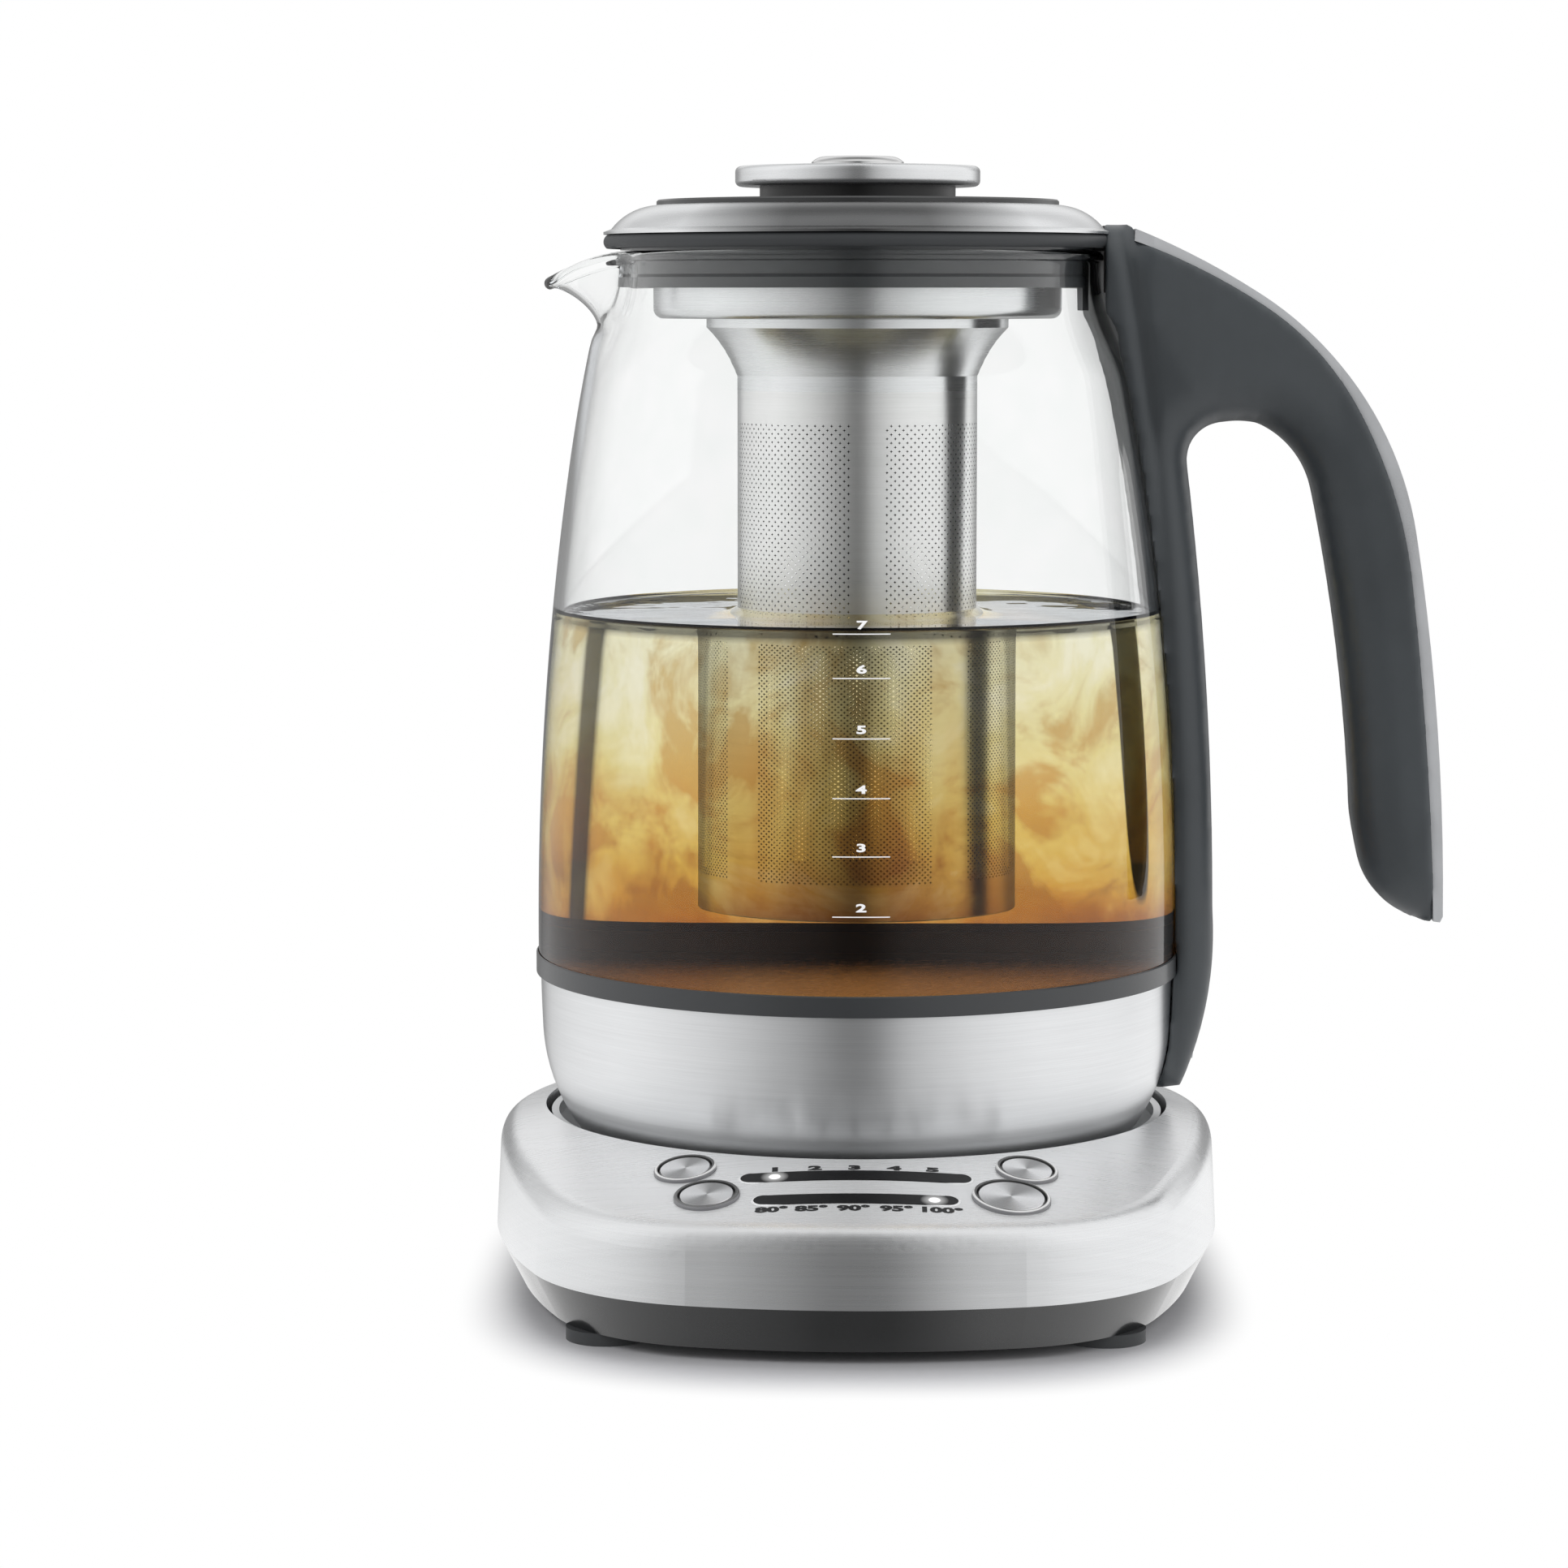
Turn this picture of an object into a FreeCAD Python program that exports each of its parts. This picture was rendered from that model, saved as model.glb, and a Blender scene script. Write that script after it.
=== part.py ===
"""Automatic tea maker: a glass jug with an infuser basket and a lid on a heated control base.

FreeCAD macro in millimetres. The origin is on the jug's axis in the plane that the feet stand on.
+Z is up, -Y is the front with the controls and +X is the side of the handle.
Every size is a row of the sheet, and each sub-part is written to parts/NODE.step.
"""
import FreeCAD, Part
import math
import os
import Sketcher

SIZES = [
    # base
    ("foot_radius", 9.5),
    ("foot_height", 3.0),
    ("foot_front_in", 16.8),
    ("foot_front_ahead", 4.4),
    ("foot_back_in", 25.5),
    ("tray_height", 10.8),
    ("tray_wall", 2.4),
    ("tray_floor", 2.5),
    ("tray_taper_deg", 27.0),
    ("recess_gap", 3.0),
    ("recess_depth", 16.5),
    ("base_wall_height", 27.2),
    ("base_rim", 11.9),
    ("front_apron", 38.5),
    ("front_curve", 165.0),
    ("corner_in", 14.6),
    ("corner_depth", 36.4),
    ("deck_margin", 14.0),
    ("shroud_wall", 1.2),
    ("shroud_draft_deg", 3.0),
    ("shroud_edge_radius", 6.5),
    ("deck_slope_deg", 14.0),
    # deck controls, ahead of the recess
    ("start_cancel_x", 35.7),
    ("start_cancel_ahead", 16.7),
    ("start_cancel_radius", 7.9),
    ("start_timer_x", 39.8),
    ("start_timer_ahead", 0.8),
    ("start_timer_radius", 6.15),
    ("temperature_x", -34.3),
    ("temperature_ahead", 16.4),
    ("temperature_radius", 6.45),
    ("timer_x", -39.8),
    ("timer_ahead", 0.8),
    ("timer_radius", 6.15),
    ("button_gap", 0.25),
    ("button_rise", 0.7),
    ("button_face", 2.2),
    ("button_travel", 1.0),
    ("button_stem_radius", 2.4),
    ("ring_width", 0.95),
    ("ring_rise", 0.9),
    ("ring_depth", 3.4),
    ("ring_fit", 0.05),
    ("window_width", 4.8),
    ("window_ahead", 8.5),
    ("window_spacing", 12.0),
    ("window_upper_length", 53.5),
    ("window_lower_length", 47.0),
    ("window_depth", 1.8),
    ("window_rise", 0.15),
    ("board_thickness", 1.6),
    ("board_half_width", 48.0),
    ("board_ear_x", 33.0),
    ("board_front", -24.0),
    ("board_back", 3.0),
    ("board_ear_back", 11.0),
    ("board_depth", 12.0),
    ("switch_side", 6.0),
    ("switch_height", 3.4),
    ("press_gap", 0.3),
    ("led_pitch", 9.2),
    ("led_width", 2.0),
    ("led_height", 8.0),
    ("post_radius", 3.0),
    ("post_outer_x", 40.0),
    ("post_outer_ahead", 6.0),
    ("post_inner_x", 12.0),
    ("post_inner_ahead", 9.0),
    # cradle and connector in the base
    ("cradle_floor", 2.5),
    ("cradle_floor_margin", 2.0),
    ("cradle_wall", 1.8),
    ("cradle_skirt_in", 6.0),
    ("cradle_boss_radius", 4.0),
    ("screw_circle_in", 10.0),
    ("screw_head_radius", 3.0),
    ("screw_head_height", 1.3),
    ("screw_radius", 1.4),
    ("screw_length", 9.0),
    ("screw_fit", 0.08),
    ("connector_radius", 22.0),
    ("connector_rise", 11.5),
    ("connector_flange", 6.0),
    ("contact_radius", 14.0),
    ("contact_width", 1.6),
    ("contact_rise", 0.8),
    ("pin_radius", 3.0),
    ("power_board_length", 44.0),
    ("power_board_near", 3.0),
    ("power_board_far", 7.2),
    ("power_board_rise", 3.5),
    ("relay_length", 19.0),
    ("relay_margin", 3.5),
    ("relay_height", 10.4),
    ("inlet_rise", 6.7),
    ("inlet_radius", 6.3),
    ("inlet_bore", 3.6),
    ("inlet_flange", 2.0),
    ("inlet_length", 12.0),
    # jug base
    ("jug_radius", 78.1),
    ("seat_gap", 0.3),
    ("running_gap", 0.4),
    ("shell_flare", 0.5),
    ("shell_top_rise", 14.4),
    ("shell_belly_rise", 15.2),
    ("shell_turn_in", 3.6),
    ("shell_turn_rise", 13.0),
    ("shell_foot_in", 12.1),
    ("shell_foot_rise", 7.2),
    ("shell_wall", 1.2),
    ("underside_wall", 2.0),
    ("underside_foot", 3.2),
    ("plate_drop", 3.1),
    ("plate_thickness", 1.5),
    ("element_in", 26.6),
    ("element_radius", 3.8),
    ("collar_step", 1.1),
    ("collar_height", 5.0),
    # glass
    ("glass_wall", 2.5),
    ("glass_height", 175.8),
    ("glass_foot_in", 0.6),
    ("glass_foot_rise", 1.6),
    ("glass_waist_in", 1.8),
    ("glass_waist_rise", 62.8),
    ("glass_chest_in", 7.8),
    ("glass_upper_in", 10.7),
    ("glass_upper_rise", 18.5),
    ("glass_shoulder_in", 14.2),
    ("glass_shoulder_rise", 17.7),
    ("neck_in", 19.6),
    ("neck_rise", 7.0),
    ("rim_rise", 12.0),
    ("rim_bead", 0.8),
    ("spout_length", 17.9),
    ("spout_tip_drop", 8.7),
    ("spout_tip_radius", 5.0),
    ("spout_root_rise", 0.5),
    ("spout_root_depth", 14.0),
    ("spout_half_width", 21.0),
    # basket
    ("sheet_wall", 0.6),
    ("basket_radius", 29.5),
    ("basket_clearance", 20.0),
    ("basket_seam_drop", 33.9),
    ("flare_start_rise", 3.9),
    ("flare_out", 7.6),
    ("flare_rise", 11.0),
    ("dish_rise", 2.3),
    ("dish_corner", 2.5),
    ("dish_flange", 3.8),
    ("plug_gap", 0.6),
    ("plug_band", 6.3),
    ("plug_waist_in", 0.8),
    ("plug_drop", 9.0),
    ("plug_lip_height", 2.6),
    ("plug_flange", 2.6),
    ("flange_thickness", 0.9),
    ("clip_half_width", 6.0),
    ("clip_thickness", 1.5),
    ("clip_drop", 14.5),
    # lid
    ("brim_overhang", 2.8),
    ("brim_rise", 4.1),
    ("lid_top_in", 13.0),
    ("lid_top_rise", 7.1),
    ("lid_shoulder_in", 5.7),
    ("lid_shoulder_drop", 2.3),
    ("lid_wall", 0.8),
    ("cover_plate", 1.3),
    ("knob_stem_in", 6.0),
    ("knob_stem_height", 3.3),
    ("knob_radius", 30.0),
    ("knob_height", 4.9),
    ("knob_edge", 1.4),
    ("cap_radius", 11.3),
    ("cap_height", 2.4),
    ("cap_edge", 3.8),
    ("seal_height", 3.2),
    ("lid_screw_radius", 2.5),
    ("lid_screw_head", 5.0),
    # handle
    ("handle_top_rise", 6.4),
    ("handle_top_out", 5.9),
    ("handle_span", 64.0),
    ("handle_foot_rise", 8.4),
    ("arch_drop", 47.7),
    ("arch_near", 16.0),
    ("arch_far", 30.1),
    ("grip_half_width", 13.0),
    ("arm_half_width", 20.0),
    ("spine_half_width", 12.0),
    ("trim_inset", 1.5),
    ("bracket_thickness", 2.5),
    ("handle_screw_radius", 2.0),
    ("handle_screw_head", 3.6),
    ("handle_screw_length", 13.0),
    ("handle_screw_head_height", 1.6),
    ("handle_screw_seat", 4.2),
    ("handle_screw_behind", 6.6),
    ("handle_screw_reach", 30.0),
    ("bracket_width", 18.0),
    ("bracket_height", 16.5),
    ("bracket_behind", 5.6),
]

DERIVED = [
    # levels, from the table upwards
    ("tray_top_z", "=foot_height + tray_height"),
    ("tray_floor_z", "=foot_height + tray_floor"),
    ("recess_rim_z", "=tray_top_z + base_wall_height"),
    ("cradle_floor_z", "=recess_rim_z - recess_depth"),
    ("connector_top_z", "=cradle_floor_z + connector_rise"),
    ("power_board_z", "=tray_floor_z + power_board_rise"),
    ("inlet_z", "=tray_top_z + inlet_rise"),
    ("jug_foot_z", "=cradle_floor_z + seat_gap"),
    ("underside_z", "=jug_foot_z + underside_foot"),
    ("shell_foot_z", "=jug_foot_z + shell_foot_rise"),
    ("shell_turn_z", "=shell_foot_z + shell_turn_rise"),
    ("shell_belly_z", "=shell_turn_z + shell_belly_rise"),
    ("shell_top_z", "=shell_belly_z + shell_top_rise"),
    ("plate_top_z", "=shell_top_z - plate_drop"),
    ("plate_bottom_z", "=plate_top_z - plate_thickness"),
    ("socket_top_z", "=connector_top_z + contact_rise + 1.6"),
    ("collar_top_z", "=shell_top_z + collar_height"),
    ("glass_foot_z", "=shell_top_z + glass_foot_rise"),
    ("glass_waist_z", "=glass_foot_z + glass_waist_rise"),
    ("rim_z", "=glass_foot_z + glass_height"),
    ("neck_z", "=rim_z - rim_rise"),
    ("glass_shoulder_z", "=neck_z - neck_rise"),
    ("glass_upper_z", "=glass_shoulder_z - glass_shoulder_rise"),
    ("glass_chest_z", "=glass_upper_z - glass_upper_rise"),
    ("spout_tip_z", "=rim_z - spout_tip_drop"),
    ("spout_root_z", "=glass_shoulder_z + spout_root_rise"),
    ("basket_bottom_z", "=plate_top_z + basket_clearance"),
    ("basket_seam_z", "=rim_z - basket_seam_drop"),
    ("flare_start_z", "=basket_seam_z + flare_start_rise"),
    ("flare_z", "=flare_start_z + flare_rise"),
    ("dish_z", "=flare_z + dish_rise"),
    ("dish_flange_z", "=rim_z + 0.2"),
    ("plug_bottom_z", "=rim_z - plug_drop"),
    ("flange_top_z", "=rim_z + seat_gap + flange_thickness"),
    ("brim_z", "=rim_z + brim_rise"),
    ("lid_top_z", "=brim_z + lid_top_rise"),
    ("lid_shoulder_z", "=lid_top_z - lid_shoulder_drop"),
    ("seal_bottom_z", "=flange_top_z + seat_gap"),
    ("seal_top_z", "=brim_z - 0.2"),
    ("plate_z", "=lid_top_z + cover_plate"),
    ("knob_z", "=plate_z + knob_stem_height"),
    ("knob_top_z", "=knob_z + knob_height"),
    ("cap_top_z", "=knob_top_z + cap_height"),
    ("handle_top_z", "=rim_z + handle_top_rise"),
    ("handle_foot_z", "=collar_top_z + handle_foot_rise"),
    ("arch_top_z", "=handle_top_z - arch_drop"),
    ("spine_foot_z", "=shell_turn_z"),
    # radii, from the jug's own
    ("shell_belly_radius", "=jug_radius"),
    ("shell_top_radius", "=jug_radius + shell_flare"),
    ("shell_turn_radius", "=jug_radius - shell_turn_in"),
    ("shell_foot_radius", "=jug_radius - shell_foot_in"),
    ("frame_top_radius", "=jug_radius - shell_wall - 0.3"),
    ("element_circle", "=frame_top_radius - element_in"),
    ("collar_radius", "=shell_top_radius + collar_step"),
    ("glass_foot_radius", "=collar_radius - glass_foot_in"),
    ("glass_waist_radius", "=glass_foot_radius - glass_waist_in"),
    ("glass_chest_radius", "=glass_foot_radius - glass_chest_in"),
    ("glass_upper_radius", "=glass_foot_radius - glass_upper_in"),
    ("glass_shoulder_radius", "=glass_foot_radius - glass_shoulder_in"),
    ("neck_radius", "=glass_foot_radius - neck_in"),
    ("neck_bore", "=neck_radius - glass_wall"),
    ("spout_reach", "=neck_radius + spout_length"),
    ("flare_radius", "=basket_radius + flare_out"),
    ("plug_radius", "=neck_bore - plug_gap"),
    ("plug_waist_radius", "=plug_radius - plug_waist_in"),
    ("dish_radius", "=plug_radius - plug_band"),
    ("liner_radius", "=dish_radius - 0.6"),
    ("brim_radius", "=neck_radius + brim_overhang"),
    ("lid_top_radius", "=brim_radius - lid_top_in"),
    ("lid_shoulder_radius", "=brim_radius - lid_shoulder_in"),
    ("knob_stem_radius", "=knob_radius - knob_stem_in"),
    ("cap_flat_radius", "=cap_radius - cap_edge"),
    ("handle_bore", "=brim_radius + seat_gap"),
    ("handle_top_x", "=neck_radius + handle_top_out"),
    ("handle_reach", "=jug_radius + handle_span"),
    ("arch_middle_x", "=(handle_reach - arch_far + glass_shoulder_radius + arch_near) / 2"),
    # base, round the jug
    ("recess_radius", "=shell_turn_radius + recess_gap"),
    ("recess_wall_radius", "=recess_radius - shroud_wall"),
    ("back_radius", "=recess_radius + base_rim"),
    ("front_y", "=-recess_radius - front_apron"),
    ("corner_end_x", "=back_radius - corner_in"),
    ("corner_end_y", "=front_y + corner_depth"),
    ("foot_front_x", "=corner_end_x - foot_front_in"),
    ("foot_front_y", "=corner_end_y - foot_front_ahead"),
    ("foot_back_x", "=recess_radius - foot_back_in"),
    ("foot_back_y", "=foot_back_x"),
    ("tray_inset", "=tray_wall + (tray_height - tray_floor) * tan(tray_taper_deg * 1 deg)"),
    ("deck_fall", "=tan(deck_slope_deg * 1 deg)"),
    ("deck_reach", "=deck_margin - front_y"),
    ("deck_edge_z", "=recess_rim_z - deck_fall * (deck_reach - recess_radius)"),
    ("start_cancel_y", "=-recess_radius - start_cancel_ahead"),
    ("start_timer_y", "=-recess_radius - start_timer_ahead"),
    ("temperature_y", "=-recess_radius - temperature_ahead"),
    ("timer_y", "=-recess_radius - timer_ahead"),
    ("window_upper_y", "=-recess_radius - window_ahead"),
    ("window_lower_y", "=window_upper_y - window_spacing"),
    ("cradle_lip_radius", "=recess_wall_radius - 0.2"),
    ("cradle_lip_z", "=recess_rim_z - 1.5"),
    ("cradle_floor_radius", "=shell_foot_radius + cradle_floor_margin"),
    ("cradle_skirt_radius", "=cradle_floor_radius - cradle_skirt_in"),
    ("skirt_inner_radius", "=cradle_skirt_radius - cradle_wall"),
    ("screw_circle", "=cradle_skirt_radius - screw_circle_in"),
    ("connector_hole", "=connector_radius + running_gap"),
    ("socket_radius", "=connector_hole + 3.6"),
    ("flange_radius", "=connector_radius + connector_flange"),
    ("power_board_front", "=flange_radius + power_board_near"),
    ("power_board_depth", "=skirt_inner_radius - power_board_far - power_board_front"),
    ("power_board_half", "=power_board_length / 2"),
    ("relay_half", "=relay_length / 2"),
    ("bracket_half", "=bracket_width / 2"),
    ("relay_depth", "=power_board_depth - 2 * relay_margin"),
]

NAMES = set()
for row in SIZES:
    NAMES.add(row[0])
for row in DERIVED:
    NAMES.add(row[0])

doc = FreeCAD.newDocument("TeaMaker")
sheet = doc.addObject("Spreadsheet::Sheet", "Sizes")
for number, row in enumerate(SIZES + DERIVED, start=1):
    sheet.set("A%d" % number, row[0])
    sheet.set("B%d" % number, str(row[1]))
    sheet.setAlias("B%d" % number, row[0])
doc.recompute()

NODES = {}


# ---------------------------------------------------------------- helpers

def size(name):
    """Value of one named size, in millimetres or degrees."""
    return float(sheet.get(name))


def amount(formula):
    """Value of a sum of sizes and numbers, such as 'rim_z - 2.0'."""
    total = 0.0
    sign = 1.0
    for word in str(formula).split():
        if word == "+":
            sign = 1.0
        elif word == "-":
            sign = -1.0
        elif word in NAMES:
            total += sign * size(word)
        elif word.startswith("-") and word[1:] in NAMES:
            total -= size(word[1:])
        else:
            total += sign * float(word)
    return total


def cells(formula):
    """The same sum as an expression that reads the sheet."""
    words = []
    for word in str(formula).split():
        if word in NAMES:
            words.append("Sizes." + word)
        elif word.startswith("-") and word[1:] in NAMES:
            words.append("-Sizes." + word[1:])
        else:
            words.append(word)
    return " ".join(words)


def bind(thing, **sizes):
    """Tie properties of an object to sums of sizes."""
    for name, formula in sizes.items():
        setattr(thing, name, amount(formula))
        thing.setExpression(name, cells(formula))
    return thing


def place(thing, x="0", y="0", z="0"):
    """Tie the position of an object to sums of sizes."""
    thing.Placement.Base = FreeCAD.Vector(amount(x), amount(y), amount(z))
    for axis, formula in (("x", x), ("y", y), ("z", z)):
        if formula != "0":
            thing.setExpression("Placement.Base." + axis, cells(formula))
    return thing


def node(label, thing):
    """Register an object as the sub-part that is written under this name."""
    thing.Label = label
    NODES[label] = thing
    return thing


def plane_of(body, role):
    """Origin plane of a body by its role."""
    for feature in body.Origin.OriginFeatures:
        if feature.Role == role:
            return feature
    raise ValueError(role)


def pin_point(sketch, geometry, position, point):
    """Fix a point of a sketch at two sums of sizes."""
    for kind, axis, formula in (("DistanceX", -2, point[0]), ("DistanceY", -1, point[1])):
        if formula is None:
            continue
        if formula == "0":
            sketch.addConstraint(Sketcher.Constraint("PointOnObject", geometry, position, axis))
        else:
            index = sketch.addConstraint(
                Sketcher.Constraint(kind, geometry, position, amount(formula)))
            sketch.setExpression("Constraints[%d]" % index, cells(formula))


def arc_through(start, middle, end):
    """Arc through three points, drawn to the left, and whether it runs from start to end."""
    round_edge = Part.Arc(start, middle, end).toShape().Curve
    centre = round_edge.Center
    turn = (middle - start).cross(end - middle).z
    first = start - centre
    last = end - centre
    if turn < 0:
        first, last = last, first
    begin = math.atan2(first.y, first.x)
    finish = math.atan2(last.y, last.x)
    if finish < begin:
        finish += 2 * math.pi
    circle = Part.Circle(centre, FreeCAD.Vector(0, 0, 1), round_edge.Radius)
    return Part.ArcOfCircle(circle, begin, finish), turn > 0


def draw(sketch, points):
    """Draw a closed outline: corners (h, v), and (h, v, "via") for a point that an arc passes."""
    corners = [point for point in points if len(point) == 2]
    vias = {}
    count = 0
    for point in points:
        if len(point) == 3:
            vias[count - 1] = point
        else:
            count += 1
    edges = []
    for index, point in enumerate(corners):
        after = corners[(index + 1) % len(corners)]
        start = FreeCAD.Vector(amount(point[0]), amount(point[1]), 0)
        end = FreeCAD.Vector(amount(after[0]), amount(after[1]), 0)
        via = vias.get(index)
        if via is None:
            edge = sketch.addGeometry(Part.LineSegment(start, end), False)
            edges.append((edge, 1, 2))
            continue
        middle = FreeCAD.Vector(amount(via[0]), amount(via[1]), 0)
        arc, forward = arc_through(start, middle, end)
        edge = sketch.addGeometry(arc, False)
        edges.append((edge, 1, 2) if forward else (edge, 2, 1))
        helper = sketch.addGeometry(Part.Point(middle), True)
        pin_point(sketch, helper, 1, via)
        sketch.addConstraint(Sketcher.Constraint("PointOnObject", helper, 1, edge))
    for index, (edge, first, last) in enumerate(edges):
        after, after_first, after_last = edges[(index + 1) % len(edges)]
        sketch.addConstraint(Sketcher.Constraint("Coincident", edge, last, after, after_first))
        pin_point(sketch, edge, first, corners[index])
    return sketch


def sketch_in(body, role, points, lift="0"):
    """Sketch on an origin plane of a body, lifted along the plane's normal."""
    sketch = body.newObject("Sketcher::SketchObject", body.Name + "Sketch")
    sketch.AttachmentSupport = [(plane_of(body, role), "")]
    sketch.MapMode = "FlatFace"
    if lift != "0":
        sketch.AttachmentOffset = FreeCAD.Placement(
            FreeCAD.Vector(0, 0, amount(lift)), FreeCAD.Rotation())
        sketch.setExpression("AttachmentOffset.Base.z", cells(lift))
    return draw(sketch, points)


def revolved(name, points):
    """Body turned about Z from a profile of (radius, height)."""
    body = doc.addObject("PartDesign::Body", name)
    sketch = sketch_in(body, "XZ_Plane", points)
    turned = body.newObject("PartDesign::Revolution", name + "Turned")
    turned.Profile = sketch
    turned.ReferenceAxis = (sketch, ["V_Axis"])
    turned.Angle = 360.0
    sketch.Visibility = False
    return body


def padded(name, role, points, length, lift="0", both=False):
    """Body padded from an outline on an origin plane."""
    body = doc.addObject("PartDesign::Body", name)
    sketch = sketch_in(body, role, points, lift)
    pad = body.newObject("PartDesign::Pad", name + "Pad")
    pad.Profile = sketch
    if both:
        pad.SideType = "Symmetric"
    bind(pad, Length=length)
    sketch.Visibility = False
    return body


def cylinder(name, radius, height, x="0", y="0", z="0"):
    """Upright cylinder whose sizes read the sheet."""
    return place(bind(doc.addObject("Part::Cylinder", name), Radius=radius, Height=height), x, y, z)


def block(name, length, width, height, x="0", y="0", z="0"):
    """Box whose sizes read the sheet."""
    return place(bind(doc.addObject("Part::Box", name), Length=length, Width=width, Height=height),
                 x, y, z)


def joined(name, pieces):
    """One solid of several that touch or overlap."""
    fuse = doc.addObject("Part::MultiFuse", name)
    fuse.Shapes = pieces
    return fuse


def group(name, pieces):
    """Separate solids that share one node."""
    compound = doc.addObject("Part::Compound", name)
    compound.Links = pieces
    return compound


def without(name, base, tool):
    """A solid less a tool."""
    cut = doc.addObject("Part::Cut", name)
    cut.Base = base
    cut.Tool = tool
    return cut


def shared(name, first, second):
    """What two solids have in common."""
    common = doc.addObject("Part::MultiCommon", name)
    common.Shapes = [first, second]
    return common


# ---------------------------------------------------------------- base

def arc_between(start, end, share):
    """Arc that turns left from start to end and bulges by a share of its chord."""
    chord = end - start
    middle = start + chord * 0.5 + FreeCAD.Vector(chord.y, -chord.x, 0) * share
    return Part.Arc(start, middle, end)


def draw_footprint(sketch):
    """Outline of the base: six arcs, each tangent to the next, round at the back."""
    back = size("back_radius")
    front = FreeCAD.Vector(size("corner_end_x") / 2, size("front_y") + 4.0, 0)
    corner = FreeCAD.Vector(size("corner_end_x"), size("corner_end_y"), 0)
    side = FreeCAD.Vector(back, 0, 0)
    left = [FreeCAD.Vector(-point.x, point.y, 0) for point in (front, corner, side)]
    arcs = [
        arc_between(left[0], front, 0.06),
        arc_between(front, corner, 0.2),
        arc_between(corner, side, 0.06),
        arc_between(side, left[2], 0.5),
        arc_between(left[2], left[1], 0.06),
        arc_between(left[1], left[0], 0.2),
    ]
    for arc in arcs:
        sketch.addGeometry(arc, False)
    for index in range(len(arcs)):
        after = (index + 1) % len(arcs)
        sketch.addConstraint(Sketcher.Constraint("Tangent", index, 2, after, 1))
    pin_point(sketch, 3, 3, ("0", "0"))
    sketch.addConstraint(Sketcher.Constraint("PointOnObject", 3, 2, -1))
    for arc, name in ((3, "back_radius"), (0, "front_curve")):
        index = sketch.addConstraint(Sketcher.Constraint("Radius", arc, size(name)))
        sketch.setExpression("Constraints[%d]" % index, cells(name))
    pin_point(sketch, 2, 2, (None, "0"))
    pin_point(sketch, 0, 3, ("0", "front_y + front_curve"))
    pin_point(sketch, 1, 2, ("corner_end_x", "corner_end_y"))
    pin_point(sketch, 4, 2, ("-corner_end_x", "corner_end_y"))
    return sketch


def footprint(name, inset, lift):
    """Outline of the base, moved in by a wall, at a height."""
    sketch = doc.addObject("Sketcher::SketchObject", name + "Outline")
    draw_footprint(sketch)
    if inset == "0":
        return place(sketch, z=lift)
    doc.recompute()
    offset = doc.addObject("Part::Offset2D", name)
    offset.Source = sketch
    bind(offset, Value=inset)
    return place(offset, z=lift)


def raised(name, outline, height, taper="0"):
    """Solid raised on an outline, with a draft."""
    solid = doc.addObject("Part::Extrusion", name)
    solid.Base = outline
    solid.DirMode = "Custom"
    solid.Dir = FreeCAD.Vector(0, 0, 1)
    solid.Solid = True
    bind(solid, LengthFwd=height)
    if taper != "0":
        bind(solid, TaperAngle=taper)
    return solid


def base_edges(shape, low, high, reach):
    """Numbers of the edges round the outside that lie between two heights."""
    found = []
    for number, edge in enumerate(shape.Edges, start=1):
        middle = edge.valueAt((edge.FirstParameter + edge.LastParameter) / 2)
        ends = [vertex.Z for vertex in edge.Vertexes]
        across = math.hypot(middle.x, middle.y)
        if min(ends) > low and max(ends) < high and across > reach and len(ends) == 2:
            found.append(number)
    return found


def make_tray():
    """Moulded tray: drafted outside, a cavity, screw holes and posts for the boards."""
    outline = footprint("TrayTop", "0", "tray_top_z")
    outside = raised("TrayOutside", outline, "tray_height")
    outside.Dir = FreeCAD.Vector(0, 0, -1)
    bind(outside, TaperAngle="-tray_taper_deg")
    inside = raised("TrayCavity", footprint("TrayInner", "-tray_inset", "tray_floor_z"),
                    "tray_height")
    tools = [inside]
    circle = size("screw_circle")
    for number in range(4):
        angle = math.radians(45 + 90 * number)
        x = circle * math.cos(angle)
        y = circle * math.sin(angle)
        tools.append(cylinder("TrayHole%d" % number, "screw_radius + 0.3", "tray_floor + 2.0",
                              str(x), str(y), "foot_height - 1.0"))
        tools.append(cylinder("TraySink%d" % number, "screw_head_radius + 0.3",
                              "screw_head_height + 1.2", str(x), str(y), "foot_height - 1.0"))
    hollow = without("TrayShell", outside, joined("TrayTools", tools))
    posts = [hollow]
    for x in ("-power_board_half + post_radius + 1.0", "power_board_half - post_radius - 1.0"):
        posts.append(cylinder("BoardPost", "post_radius", "power_board_rise", x,
                              "power_board_front + post_radius + 8.0", "tray_floor_z"))
    for number, (x, y) in enumerate(control_posts()):
        top = board_underside(x, y) - size("post_radius") * math.tan(TILT) - 0.1
        posts.append(cylinder("ControlPost%d" % number, "post_radius",
                              "%.4f - tray_floor_z" % top, str(x), str(y), "tray_floor_z"))
    node("base_tray", joined("Tray", posts))


TILT = math.radians(size("deck_slope_deg"))
DECK_Y = size("window_upper_y")


def deck_height(x, y):
    """Height of the conical deck above a point of the floor."""
    return size("recess_rim_z") - size("deck_fall") * (math.hypot(x, y) - size("recess_radius"))


def board_frame():
    """Placement of the control board: along the deck's slope at the front, below its surface."""
    turn = FreeCAD.Rotation(FreeCAD.Vector(1, 0, 0), size("deck_slope_deg"))
    return FreeCAD.Placement(FreeCAD.Vector(0, DECK_Y, deck_height(0, DECK_Y)), turn)


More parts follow.
